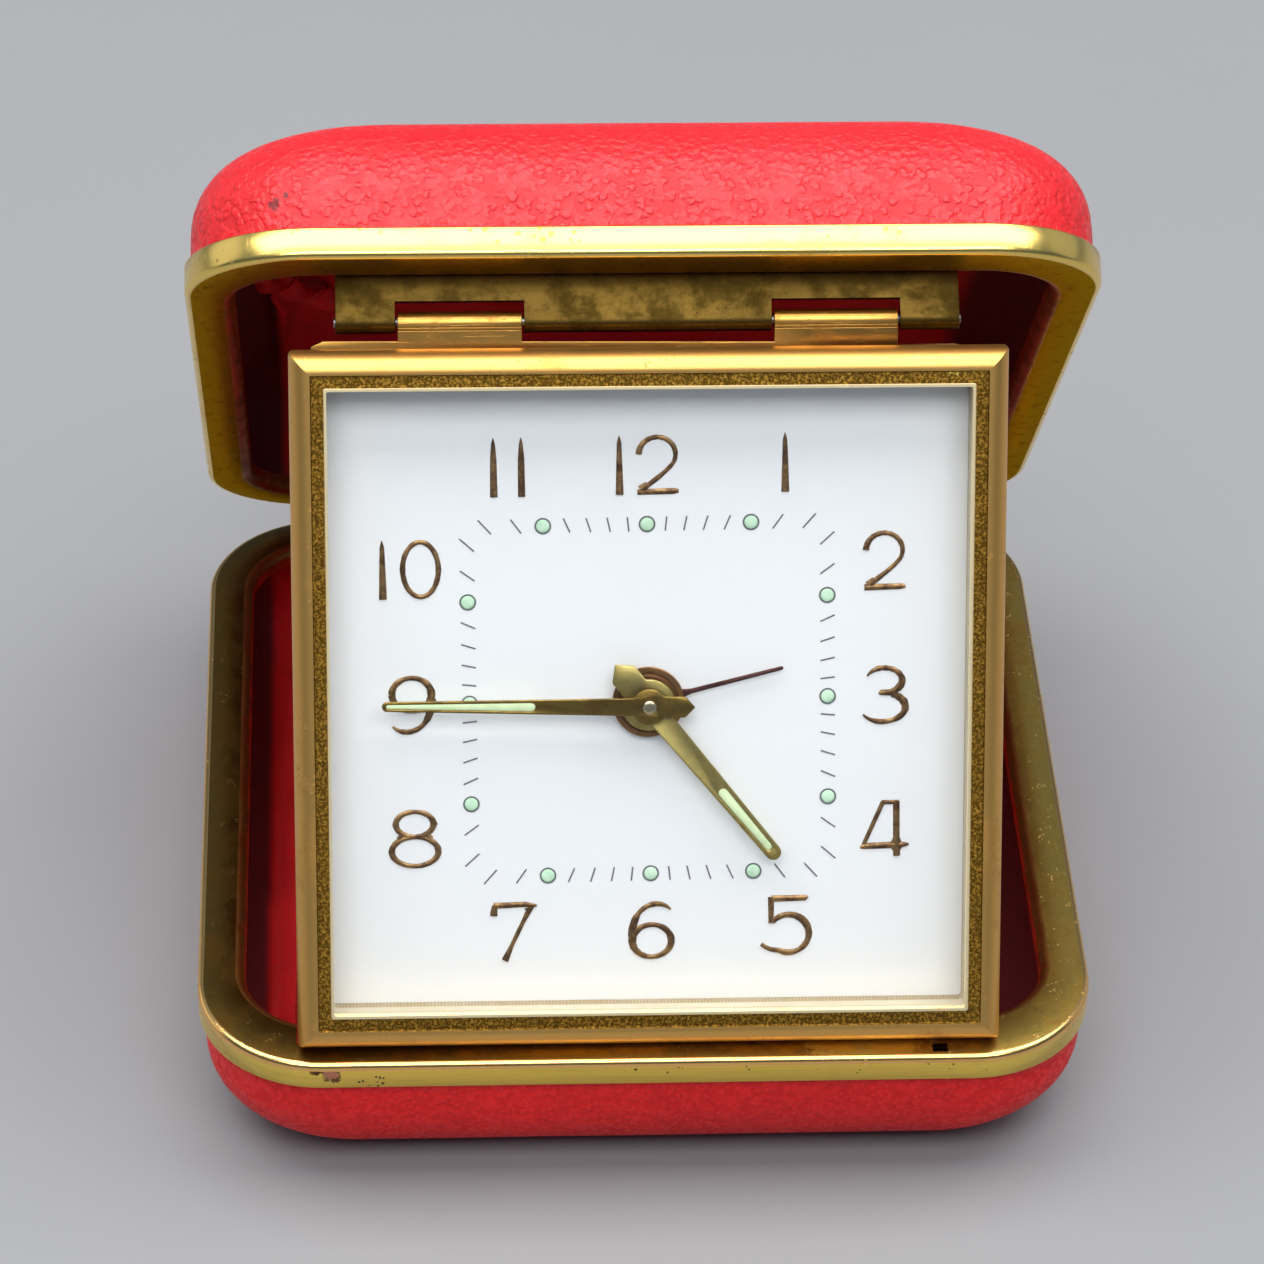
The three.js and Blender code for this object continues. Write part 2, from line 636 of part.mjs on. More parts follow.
function bezelPieces(face) {
  const beadCentre = clockHalf - BEZEL_BEAD_RADIUS;
  const rings = [squareRing(clockHalf, BEZEL_CORNER_RADIUS, BEZEL_DEPTH)];
  const beadSteps = 7;
  for (let k = 0; k <= beadSteps; k += 1) {
    const a = deg((150 * k) / beadSteps);
    const half = beadCentre + BEZEL_BEAD_RADIUS * Math.cos(a);
    const depth = BEZEL_BEAD_RADIUS * (1 - Math.sin(a));
    rings.push(squareRing(half, BEZEL_CORNER_RADIUS, depth));
  }
  const lipHalf = openingHalf + BEZEL_LIP_WIDTH;
  rings.push(squareRing(lipHalf, 0.2, BEZEL_SLOPE_FOOT));
  rings.push(squareRing(lipHalf - 0.06, 0.2, BEZEL_LIP_FACE));
  rings.push(squareRing(openingHalf, 0.2, BEZEL_LIP_FACE));
  rings.push(squareRing(openingHalf, 0.2, BEZEL_BACK_DEPTH));
  rings.push(squareRing(clockHalf - BEZEL_WALL, 0.2, BEZEL_BACK_DEPTH));
  rings.push(squareRing(clockHalf - BEZEL_WALL, 0.2, BEZEL_DEPTH));
  piece('bezel', loft(rings, false), finishes.wornGilt, face);
  const crystal = [
    squareRing(crystalHalf, 1, crystalDepth + CRYSTAL_THICKNESS),
    squareRing(crystalHalf, 1, crystalDepth),
  ];
  piece('crystal', loft(crystal, true), finishes.clear, face);
  const inner = openingHalf + LAYER_GAP;
  const outer = inner + SURROUND_WALL;
  const surround = [
    squareRing(outer, 1, DIAL_DEPTH - LAYER_GAP),
    squareRing(outer, 1, surroundDepth),
    squareRing(inner, 0.3, surroundDepth),
    squareRing(inner, 0.3, DIAL_DEPTH - LAYER_GAP),
  ];
  piece('dial_surround', loft(surround, false), finishes.cream, face);
}

function dialPiece(face) {
  const half = caseInner - LAYER_GAP * 2;
  const plate = loft([squareRing(half, 1, motionDepth), squareRing(half, 1, DIAL_DEPTH)], true);
  const feet = [-1, 1].map((side) => disc(DIAL_FOOT_RADIUS, -frontPlateDepth + LAYER_GAP,
    -motionDepth + 0.1, { x: side * dialFootReach, y: side * dialFootReach }, 10));
  const hole = disc(alarmPipeOuter() + RUNNING_GAP * 2, -motionDepth - 1, 0, handCentre);
  piece('dial', combine([plate, ...feet], [hole]), finishes.dialWhite, face);
}

function casePiece(face) {
  const ledgeFront = motionDepth + LAYER_GAP;
  const ledgeBack = frontPlateDepth - LAYER_GAP;
  const front = BEZEL_BACK_DEPTH + LAYER_GAP * 2;
  const corner = CLOCK_CASE_RADIUS;
  const inner = corner - CLOCK_CASE_WALL;
  const rings = [
    squareRing(caseHalf, corner, clockCaseDepth, 3),
    squareRing(caseHalf, corner, front, 3),
    squareRing(caseInner, inner, front, 3),
    squareRing(caseInner, inner, ledgeFront, 3),
    squareRing(caseInner - LEDGE_WIDTH, inner, ledgeFront, 3),
    squareRing(caseInner - LEDGE_WIDTH, inner, ledgeBack, 3),
    squareRing(caseInner, inner, ledgeBack, 3),
    squareRing(caseInner, inner, clockCaseDepth, 3),
  ];
  piece('clock_case', loft(rings, false), finishes.brass, face);
}

function pillarSpots() {
  return [[1, 1], [-1, 1], [-1, -1], [1, -1]].map(([sx, sy]) => (
    new THREE.Vector2(sx * pillarReach, sy * pillarReach)));
}

function pivotHoles(spots, low, high) {
  return spots.map(([at, radius]) => disc(radius + RUNNING_GAP, low - 1, high + 1, at, 10));
}

function backHoles() {
  return [
    [handCentre, CENTRE_ARBOR_RADIUS],
    [timeBarrelAt, ARBOR_RADIUS * 2],
    [alarmBarrelAt, ARBOR_RADIUS * 2],
    [alarmSetAt, ARBOR_RADIUS],
  ];
}

function movementPlates(face) {
  const half = caseInner - LAYER_GAP * 2;
  const frontBack = -frontPlateDepth - PLATE_THICKNESS;
  const wheels = [[thirdAt, ARBOR_RADIUS], [fourthAt, ARBOR_RADIUS], [balanceAt, ARBOR_RADIUS]];
  const hammer = [[hammerAt, ARBOR_RADIUS]];
  const front = loft([
    squareRing(half, 1, frontPlateDepth + PLATE_THICKNESS),
    squareRing(half, 1, frontPlateDepth),
  ], true);
  const pillars = pillarSpots().map((at) => disc(PILLAR_RADIUS, -backPlateDepth + LAYER_GAP,
    frontBack + 0.1, at, 10));
  const frontHoles = pivotHoles([[handCentre, CENTRE_ARBOR_RADIUS], [timeBarrelAt, ARBOR_RADIUS],
    [alarmBarrelAt, ARBOR_RADIUS], [alarmSetAt, ARBOR_RADIUS], ...wheels, ...hammer],
  frontBack, -frontPlateDepth);
  piece('movement_front_plate', combine([front, ...pillars], frontHoles), finishes.brass, face);
  const back = loft([
    squareRing(half, 1, backPlateDepth + PLATE_THICKNESS),
    squareRing(half, 1, backPlateDepth),
  ], true);
  const postLow = -clockCaseDepth;
  const posts = pillarSpots().map((at) => disc(PILLAR_RADIUS, postLow, -backPlateDepth - 0.1, at, 10));
  const threads = pillarSpots().map((at) => disc(SCREW_RADIUS + RUNNING_GAP, postLow - 1,
    postLow + SCREW_LENGTH - 0.4, at, 8));
  const holes = pivotHoles([...backHoles(), ...wheels, ...hammer], -backPlateDepth - PLATE_THICKNESS,
    -backPlateDepth);
  piece('movement_back_plate', combine([back, ...posts], [...threads, ...holes]), finishes.brass, face);
}

function backCover(face) {
  const low = -backFace;
  const high = -backCoverDepth;
  const plate = loft([squareRing(caseHalf, CLOCK_CASE_RADIUS, backFace, 3),
    squareRing(caseHalf, CLOCK_CASE_RADIUS, backCoverDepth, 3)], true);
  const tools = pivotHoles(backHoles(), low, high);
  tools.push(...pillarSpots().map((at) => disc(SCREW_RADIUS + RUNNING_GAP, low - 1, high + 1, at, 8)));
  tools.push(regulatorSlot(low, high), stopSlot(low, high));
  piece('back_cover', combine([plate], tools), finishes.brass, face);
  pillarSpots().forEach((at, i) => {
    const headTop = low - LAYER_GAP;
    const headLow = headTop - SCREW_HEAD_HEIGHT;
    const head = disc(SCREW_HEAD_RADIUS, headLow, headTop, at, 12);
    const shank = disc(SCREW_RADIUS, headTop - 0.1, headTop + SCREW_LENGTH, at, 8);
    const slot = block(at.x - 2, at.x + 2, at.y - SCREW_SLOT_WIDTH / 2, at.y + SCREW_SLOT_WIDTH / 2,
      headLow - 1, headLow + SCREW_HEAD_HEIGHT / 2);
    piece(`back_screw_${i + 1}`, combine([head, shank], [slot]), finishes.nickel, face);
  });
}

// Wheels of the going train, the motion work and the alarm
function wheelBody(module, teeth, at, depth, phase, thickness = WHEEL_SHEET) {
  const wheel = slab(toothOutline(module, teeth, phase), -depth - thickness, -depth);
  wheel.translate(at.x, at.y, 0);
  return wheel;
}

function angleBetween(from, to) {
  return THREE.MathUtils.radToDeg(Math.atan2(to.y - from.y, to.x - from.x));
}

const centreWheelDepth = trainFront + 0.15;
const thirdWheelDepth = trainFront + 0.95;
const fourthWheelDepth = trainFront + 1.6;
const greatWheelDepth = trainFront + 2.45;
const drumDepth = trainFront + 0.9;
const escapeDepth = trainFront + 2.35;
const motionWheelDepth = motionDepth + 1.05;
const alarmWheelDepth = motionDepth + 0.12;

function minutePipeOuter() {
  return CENTRE_ARBOR_RADIUS + MINUTE_PIPE_WALL;
}

function hourPipeInner() {
  return minutePipeOuter() + RUNNING_GAP;
}

function hourPipeOuter() {
  return hourPipeInner() + HOUR_PIPE_WALL;
}

function alarmPipeInner() {
  return hourPipeOuter() + RUNNING_GAP;
}

function alarmPipeOuter() {
  return alarmPipeInner() + ALARM_PIPE_WALL;
}

function handDepth(height) {
  return DIAL_DEPTH - height;
}

// The centre arbor carries the centre wheel, the pinions, the minute hand and the setting knob
function centreArbor(minute) {
  const at = handCentre;
  const back = -backFace - KNOB_STAND_OFF - KNOB_HEIGHT / 2;
  const tip = -handDepth(ARBOR_TIP_HEIGHT);
  const towardsThird = angleBetween(at, thirdAt);
  const towardsBarrel = angleBetween(at, timeBarrelAt);
  const towardsMinute = angleBetween(at, minuteWheelAt);
  const bodies = [
    disc(CENTRE_ARBOR_RADIUS, back, tip, at, 12),
    wheelBody(WHEEL_MODULE, CENTRE_WHEEL_TEETH, at, centreWheelDepth,
      meshPhase(towardsThird, CENTRE_WHEEL_TEETH, true)),
    wheelBody(BARREL_MODULE, CENTRE_PINION_LEAVES, at, greatWheelDepth - 0.1,
      meshPhase(towardsBarrel, CENTRE_PINION_LEAVES, true), PINION_LENGTH),
    wheelBody(WHEEL_MODULE, CANNON_LEAVES, at, motionWheelDepth - 0.05,
      meshPhase(towardsMinute, CANNON_LEAVES, true), WHEEL_SHEET + 0.1),
    disc(minutePipeOuter(), -motionWheelDepth - 0.1, -handDepth(MINUTE_HAND_HEIGHT), at, 12),
  ];
  piece('centre_arbor', combine(bodies), finishes.brass, minute);
}

function knob(name, at, boreRadius, group) {
  const high = -backFace - KNOB_STAND_OFF;
  const low = high - KNOB_HEIGHT;
  const grips = new THREE.Shape();
  for (let k = 0; k < KNOB_GRIPS * 2; k += 1) {
    const a = (Math.PI * k) / KNOB_GRIPS;
    const r = k % 2 ? KNOB_RADIUS * 0.94 : KNOB_RADIUS;
    const x = at.x + r * Math.cos(a);
    const y = at.y + r * Math.sin(a);
    if (k === 0) {
      grips.moveTo(x, y);
    } else {
      grips.lineTo(x, y);
    }
  }
  grips.closePath();
  const body = slab(grips, low, high);
  const collar = disc(KNOB_RADIUS * 0.45, high - 0.1, high + KNOB_STAND_OFF - RUNNING_GAP * 2, at, 12);
  const bore = disc(boreRadius + SEAT_GAP, low + KNOB_HEIGHT * 0.4, high + KNOB_STAND_OFF + 1, at, 12);
  piece(name, combine([body, collar], [bore]), finishes.brass, group);
}

// Outline of a baton hand pointing along +y, with a shouldered tail and a slot for the lume
function handShape(length, rootWidth, tipWidth, bossRadius, tailWidth, tail, slot) {
  const shape = new THREE.Shape();
  const rootY = Math.sqrt(bossRadius ** 2 - (rootWidth / 2) ** 2);
  const tailRoot = Math.sqrt(bossRadius ** 2 - (tailWidth / 2) ** 2);
  const shoulder = tail - tailWidth * 0.42;
  shape.moveTo(rootWidth / 2, rootY);
  shape.lineTo(tipWidth / 2, length - tipWidth * 0.6);
  shape.quadraticCurveTo(tipWidth / 2, length - 0.1, 0, length);
  shape.quadraticCurveTo(-tipWidth / 2, length - 0.1, -tipWidth / 2, length - tipWidth * 0.6);
  shape.lineTo(-rootWidth / 2, rootY);
  shape.absarc(0, 0, bossRadius, Math.PI / 2 + Math.asin(rootWidth / 2 / bossRadius),
    1.5 * Math.PI - Math.asin(tailWidth / 2 / bossRadius), false);
  shape.lineTo(-tailWidth / 2, -tailRoot - 0.01);
  shape.lineTo(-tailWidth / 2, -shoulder);
  shape.lineTo(0, -tail);
  shape.lineTo(tailWidth / 2, -shoulder);
  shape.lineTo(tailWidth / 2, -tailRoot - 0.01);
  shape.absarc(0, 0, bossRadius, -Math.PI / 2 + Math.asin(tailWidth / 2 / bossRadius),
    Math.PI / 2 - Math.asin(rootWidth / 2 / bossRadius), false);
  const hole = new THREE.Path();
  hole.moveTo(-slot.rootWidth / 2, slot.from);
  hole.lineTo(-slot.tipWidth / 2, slot.to);
  hole.lineTo(slot.tipWidth / 2, slot.to);
  hole.lineTo(slot.rootWidth / 2, slot.from);
  hole.closePath();
  shape.holes.push(hole);
  return shape;
}

function handGroup(parent, clockAngle) {
  const group = new THREE.Group();
  group.position.set(handCentre.x, handCentre.y, 0);
  group.rotation.z = -deg(clockAngle);
  parent.add(group);
  return group;
}

function minuteHand(minute) {
  const group = handGroup(minute, MINUTE_REST_ANGLE);
  const shape = handShape(MINUTE_HAND_LENGTH, MINUTE_ROOT_WIDTH, MINUTE_TIP_WIDTH,
    MINUTE_BOSS_RADIUS, MINUTE_TAIL_WIDTH, MINUTE_HAND_TAIL, {
      from: MINUTE_SLOT_START,
      to: MINUTE_SLOT_END,
      rootWidth: MINUTE_SLOT_ROOT,
      tipWidth: MINUTE_SLOT_TIP,
    });
  const seat = -handDepth(MINUTE_HAND_HEIGHT) + SEAT_GAP;
  const hole = new THREE.Path();
  hole.absarc(0, 0, CENTRE_ARBOR_RADIUS + SEAT_GAP, 0, Math.PI * 2, true);
  shape.holes.push(hole);
  piece('minute_hand', slab(shape, seat, seat + HAND_SHEET, 5), finishes.dullBrass, group);
}

function hourHand(hour) {
  const group = handGroup(hour, HOUR_REST_ANGLE);
  const shape = handShape(HOUR_HAND_LENGTH, HOUR_ROOT_WIDTH, HOUR_TIP_WIDTH,
    HOUR_BOSS_RADIUS, HOUR_TAIL_WIDTH, HOUR_HAND_TAIL, {
      from: HOUR_SLOT_START,
      to: HOUR_SLOT_END,
      rootWidth: HOUR_SLOT_ROOT,
      tipWidth: HOUR_SLOT_TIP,
    });
  const seat = -handDepth(HOUR_HAND_HEIGHT) + SEAT_GAP;
  const hole = new THREE.Path();
  hole.absarc(0, 0, hourPipeInner(), 0, Math.PI * 2, true);
  shape.holes.push(hole);
  piece('hour_hand', slab(shape, seat, seat + HAND_SHEET, 5), finishes.dullBrass, group);
  const towards = angleBetween(handCentre, minuteWheelAt);
  const bodies = [
    wheelBody(WHEEL_MODULE, HOUR_WHEEL_TEETH, handCentre, hourWheelDepth(),
      meshPhase(towards, HOUR_WHEEL_TEETH, true), WHEEL_SHEET * 0.8),
    disc(hourPipeOuter(), -hourWheelDepth() - 0.1, -handDepth(HOUR_HAND_HEIGHT), handCentre, 14),
  ];
  const bore = disc(hourPipeInner(), -frontPlateDepth, 0, handCentre, 14);
  piece('hour_wheel', combine(bodies, [bore]), finishes.brass, hour);
}

function hourWheelDepth() {
  return alarmWheelDepth + WHEEL_SHEET + 0.1;
}

function alarmHand(alarm) {
  const group = handGroup(alarm, ALARM_REST_ANGLE);
  const shape = new THREE.Shape();
  const width = ALARM_HAND_WIDTH;
  const rootWidth = ALARM_ROOT_WIDTH;
  const rootEnd = ALARM_BOSS_RADIUS + ALARM_ROOT_REACH;
  shape.absarc(0, 0, ALARM_BOSS_RADIUS, Math.PI / 2 + 0.2, 2.5 * Math.PI - 0.2, false);
  shape.lineTo(rootWidth / 2, ALARM_BOSS_RADIUS + ALARM_ROOT_REACH * 0.3);
  shape.lineTo(width / 2, rootEnd);
  shape.lineTo(width / 2, ALARM_HAND_LENGTH);
  shape.lineTo(-width / 2, ALARM_HAND_LENGTH);
  shape.lineTo(-width / 2, rootEnd);
  shape.lineTo(-rootWidth / 2, ALARM_BOSS_RADIUS + ALARM_ROOT_REACH * 0.3);
  shape.closePath();
  const hole = new THREE.Path();
  hole.absarc(0, 0, alarmPipeInner(), 0, Math.PI * 2, true);
  shape.holes.push(hole);
  const seat = -handDepth(ALARM_HAND_HEIGHT) + SEAT_GAP;
  piece('alarm_hand', slab(shape, seat, seat + HAND_SHEET, 8), finishes.bronzed, group);
  const towards = angleBetween(handCentre, alarmSetAt);
  const bodies = [
    wheelBody(ALARM_MODULE, ALARM_WHEEL_TEETH, handCentre, alarmWheelDepth,
      meshPhase(towards, ALARM_WHEEL_TEETH, true)),
    disc(alarmPipeOuter(), -alarmWheelDepth - 0.1, -handDepth(ALARM_HAND_HEIGHT), handCentre, 14),
  ];
  const bore = disc(alarmPipeInner(), -frontPlateDepth, 0, handCentre, 14);
  piece('alarm_wheel', combine(bodies, [bore]), finishes.brass, alarm);
}

function minuteWheel(group) {
  const at = minuteWheelAt;
  const towards = angleBetween(at, handCentre);
  const bodies = [
    wheelBody(WHEEL_MODULE, MINUTE_WHEEL_TEETH, at, motionWheelDepth,
      meshPhase(towards, MINUTE_WHEEL_TEETH, false)),
    wheelBody(WHEEL_MODULE, MINUTE_PINION_LEAVES, at, hourWheelDepth() - 0.05,
      meshPhase(towards, MINUTE_PINION_LEAVES, false), PINION_LENGTH),
    disc(ARBOR_RADIUS, -frontPlateDepth + LAYER_GAP, -hourWheelDepth(), at, 8),
  ];
  piece('minute_wheel', combine(bodies), finishes.brass, group);
}

function barrel(name, at, group, towards) {
  const drum = tipRadius(BARREL_MODULE, GREAT_WHEEL_TEETH) - BARREL_DRUM_MARGIN - BARREL_MODULE;
  const bodies = [
    disc(drum, -greatWheelDepth - 0.1, -drumDepth, at, ROUND_STEPS * 2),
    wheelBody(BARREL_MODULE, GREAT_WHEEL_TEETH, at, greatWheelDepth,
      meshPhase(towards, GREAT_WHEEL_TEETH, false), WHEEL_SHEET + 0.1),
  ];
  const bore = disc(ARBOR_RADIUS * 2 + RUNNING_GAP, -backPlateDepth, -trainFront, at, 12);
  piece(name, combine(bodies, [bore]), finishes.brass, group);
}

function winder(prefix, at, group, turn) {
  const thick = ARBOR_RADIUS * 2;
  const bodies = [
    disc(thick, -backFace - KNOB_STAND_OFF - KNOB_HEIGHT / 2, -trainFront - 0.15, at, 12),
    disc(ARBOR_RADIUS, -trainFront - 0.3, -frontPlateDepth - 0.1, at, 8),
  ];
  piece(`${prefix}_winding_arbor`, combine(bodies), finishes.steel, group);
  const high = -backFace - RUNNING_GAP * 2;
  const hub = disc(KEY_HUB_RADIUS, high - KNOB_HEIGHT, high, at, 14);
  const wing = new THREE.Shape();
  wing.moveTo(-KEY_HUB_RADIUS * 0.6, 0);
  wing.lineTo(KEY_HUB_RADIUS * 0.6, 0);
  wing.bezierCurveTo(KEY_WING_REACH * 0.5, 0.4, KEY_WING_REACH, 0.2, KEY_WING_REACH, KEY_WING_HEIGHT * 0.55);
  wing.bezierCurveTo(KEY_WING_REACH, KEY_WING_HEIGHT, KEY_WING_REACH * 0.4, KEY_WING_HEIGHT * 1.1,
    0, KEY_WING_HEIGHT * 0.75);
  wing.bezierCurveTo(-KEY_WING_REACH * 0.4, KEY_WING_HEIGHT * 1.1, -KEY_WING_REACH, KEY_WING_HEIGHT,
    -KEY_WING_REACH, KEY_WING_HEIGHT * 0.55);
  wing.bezierCurveTo(-KEY_WING_REACH, 0.2, -KEY_WING_REACH * 0.5, 0.4, -KEY_HUB_RADIUS * 0.6, 0);
  const wings = slab(wing, -KEY_WING_THICKNESS / 2, KEY_WING_THICKNESS / 2, 5);
  wings.rotateX(-Math.PI / 2);
  wings.rotateZ(deg(turn));
  wings.translate(at.x, at.y, high - KNOB_HEIGHT * 0.5);
  const bore = disc(thick + SEAT_GAP, high - KNOB_HEIGHT * 0.85, high + 1, at, 12);
  piece(`${prefix}_winding_key`, combine([hub, wings], [bore]), finishes.brass, group);
}

function alarmSetter(group) {
  const at = alarmSetAt;
  const towards = angleBetween(at, handCentre);
  const bodies = [
    disc(ARBOR_RADIUS, -backFace - KNOB_STAND_OFF - KNOB_HEIGHT / 2, -alarmWheelDepth, at, 8),
    wheelBody(ALARM_MODULE, ALARM_PINION_LEAVES, at, alarmWheelDepth - 0.05,
      meshPhase(towards, ALARM_PINION_LEAVES, false), WHEEL_SHEET + 0.1),
  ];
  piece('alarm_setting_arbor', combine(bodies), finishes.brass, group);
  knob('alarm_setting_knob', at, ARBOR_RADIUS, group);
}

// An arbor whose ends run in both plates
function pivotedArbor(at) {
  const back = -backPlateDepth - PLATE_THICKNESS * 0.6;
  return disc(ARBOR_RADIUS, back, -frontPlateDepth - PLATE_THICKNESS * 0.4, at, 8);
}

function trainWheel(name, at, depth, teeth, pinionDepth, phase, pinionPhase, group) {
  const bodies = [
    pivotedArbor(at),
    wheelBody(WHEEL_MODULE, teeth, at, depth, phase),
    wheelBody(WHEEL_MODULE, THIRD_PINION_LEAVES, at, pinionDepth, pinionPhase, PINION_LENGTH),
  ];
  piece(name, combine(bodies), finishes.brass, group);
}

function escapement(face) {
  const wheel = new THREE.Shape();
  for (let k = 0; k < ESCAPE_TEETH; k += 1) {
    const a = (2 * Math.PI * k) / ESCAPE_TEETH;
    const b = a + Math.PI / ESCAPE_TEETH;
    const tip = [ESCAPE_RADIUS * Math.cos(a), ESCAPE_RADIUS * Math.sin(a)];
    if (k === 0) {
      wheel.moveTo(...tip);
    } else {
      wheel.lineTo(...tip);
    }
    wheel.lineTo(0.72 * ESCAPE_RADIUS * Math.cos(b), 0.72 * ESCAPE_RADIUS * Math.sin(b));
  }
  wheel.closePath();
  const disk = slab(wheel, -escapeDepth - WHEEL_SHEET, -escapeDepth);
  disk.translate(escapeAt.x, escapeAt.y, 0);
  const bodies = [
    disk,
    disc(ARBOR_RADIUS, -backPlateDepth + RUNNING_GAP, -trainFront - RUNNING_GAP, escapeAt, 8),
    wheelBody(WHEEL_MODULE, THIRD_PINION_LEAVES, escapeAt, fourthWheelDepth - 0.1, 0, WHEEL_SHEET + 0.2),
  ];
  piece('escape_wheel', combine(bodies), finishes.brass, face);
  const from = escapeAt.x + ESCAPE_RADIUS + 0.3;
  const to = balanceAt.x - HAIRSPRING_INNER - HAIRSPRING_TURNS * HAIRSPRING_PITCH - 0.5;
  const y = (escapeAt.y + balanceAt.y) / 2;
  const lever = new THREE.Shape();
  lever.moveTo(from, y - 1.8);
  lever.lineTo(from + 0.8, y - 1.6);
  lever.lineTo(from + 1.1, y - 0.35);
  lever.lineTo(to, y - 0.2);
  lever.lineTo(to, y + 0.2);
  lever.lineTo(from + 1.1, y + 0.35);
  lever.lineTo(from + 0.8, y + 1.6);
  lever.lineTo(from, y + 1.8);
  lever.closePath();
  const pivot = { x: from + 0.75, y };
  const arbor = disc(ARBOR_RADIUS * 0.7, -backPlateDepth + RUNNING_GAP, -trainFront - RUNNING_GAP, pivot, 8);
  piece('pallet_lever', combine([slab(lever, -escapeDepth - WHEEL_SHEET, -escapeDepth), arbor]),
    finishes.steel, face);
}

function balance(group) {
  const at = balanceAt;
  const depth = fourthWheelDepth;
  const rim = new THREE.Shape();
  rim.absarc(0, 0, BALANCE_RADIUS, 0, Math.PI * 2, false);
  rim.holes.push(roundOutline(BALANCE_RADIUS - BALANCE_RIM_WIDTH));
  const ring = slab(rim, -depth - WHEEL_SHEET, -depth, 12);
  ring.translate(at.x, at.y, 0);
  const reach = BALANCE_RADIUS - BALANCE_RIM_WIDTH / 2;
  const bodies = [
    ring,
    block(at.x - reach, at.x + reach, at.y - 0.5, at.y + 0.5, -depth - WHEEL_SHEET, -depth),
    pivotedArbor(at),
  ];
  piece('balance_wheel', combine(bodies), finishes.brass, group);
}

function hairspring(face) {
  const stepsPerTurn = 14;
  const count = HAIRSPRING_TURNS * stepsPerTurn;
  const shape = new THREE.Shape();
  const radiusAt = (k) => HAIRSPRING_INNER + (HAIRSPRING_PITCH * k) / stepsPerTurn;
  for (let k = 0; k <= count; k += 1) {
    const a = (2 * Math.PI * k) / stepsPerTurn;
    const point = [radiusAt(k) * Math.cos(a), radiusAt(k) * Math.sin(a)];
    if (k === 0) {
      shape.moveTo(...point);
    } else {
      shape.lineTo(...point);
    }
  }
  for (let k = count; k >= 0; k -= 1) {
    const a = (2 * Math.PI * k) / stepsPerTurn;
    const r = radiusAt(k) + HAIRSPRING_BAND;
    shape.lineTo(r * Math.cos(a), r * Math.sin(a));
  }
  shape.closePath();
  const spring = slab(shape, -escapeDepth - WHEEL_SHEET, -escapeDepth);
  spring.translate(balanceAt.x, balanceAt.y, 0);
  piece('hairspring', spring, finishes.steel, face);
}

function alarmHammer(group) {
  const at = hammerAt;
  const middle = -trainFront - TRAIN_SPACE / 2;
  const head = new THREE.Vector2(at.x + HAMMER_LEAN, at.y + HAMMER_LENGTH);
  const arm = new THREE.Shape();
  arm.moveTo(at.x - HAMMER_ARM_WIDTH / 2, at.y);
  arm.lineTo(at.x + HAMMER_ARM_WIDTH / 2, at.y);
  arm.lineTo(head.x + HAMMER_ARM_WIDTH / 2, head.y);
  arm.lineTo(head.x - HAMMER_ARM_WIDTH / 2, head.y);
  arm.closePath();
  const bodies = [
    slab(arm, middle - HAMMER_ARM_DEPTH / 2, middle + HAMMER_ARM_DEPTH / 2),
    disc(HAMMER_HEAD_RADIUS, middle - HAMMER_HEAD_DEPTH / 2, middle + HAMMER_HEAD_DEPTH / 2, head, 12),
    pivotedArbor(at),
  ];
  piece('alarm_hammer', combine(bodies), finishes.steel, group);
}

// Regulator lever under the back cover, with its tail standing out through a curved slot
function regulatorSlot(low, high) {
  const inner = REGULATOR_LENGTH - 0.9;
  const outer = REGULATOR_LENGTH + 0.9;
  const spread = deg(REGULATOR_SWING + 12);
  const slot = new THREE.Shape();
  slot.absarc(balanceAt.x, balanceAt.y, outer, -Math.PI / 2 - spread, -Math.PI / 2 + spread, false);
  slot.absarc(balanceAt.x, balanceAt.y, inner, -Math.PI / 2 + spread, -Math.PI / 2 - spread, true);
  slot.closePath();
  return slab(slot, low - 1, high + 1, 6);
}

function regulator(group) {
  const at = balanceAt;
  const high = -backPlateDepth - PLATE_THICKNESS - RUNNING_GAP;
  const low = high - 0.5;
  const bodies = [
    disc(1.5, low, high, at, 14),
    block(at.x - 0.45, at.x + 0.45, at.y - REGULATOR_LENGTH, at.y - 1, low, high),
    block(at.x - 0.45, at.x + 0.45, at.y - REGULATOR_LENGTH - 0.35, at.y - REGULATOR_LENGTH + 0.35,
      -backFace - 0.9, high),
  ];
  const clear = disc(ARBOR_RADIUS + RUNNING_GAP * 2, low - 1, high + 1, at, 10);
  piece('regulator_lever', combine(bodies, [clear]), finishes.nickel, group);
}

function stopSlot(low, high) {
  return block(STOP_X - 0.7, STOP_X + STOP_TRAVEL + 0.7, stopY - 0.7, stopY + 0.7, low - 1, high + 1);
}

function stopLever(group) {
  const inner = -backCoverDepth + LAYER_GAP;
  const outer = -backFace - LAYER_GAP;
  const bodies = [
    block(STOP_X - 0.55, STOP_X + 0.55, stopY - 0.55, stopY + 0.55, outer - 0.2, inner + 0.2),
    block(STOP_X - 1.6, STOP_X + 1.6, stopY - 1.3, stopY + 1.3, inner, inner + 0.4),
    block(STOP_X - 1.1, STOP_X + 1.1, stopY - 1.3, stopY + 1.3, outer - 1.1, outer),
  ];
  piece('alarm_stop_lever', combine(bodies), finishes.brass, group);
}

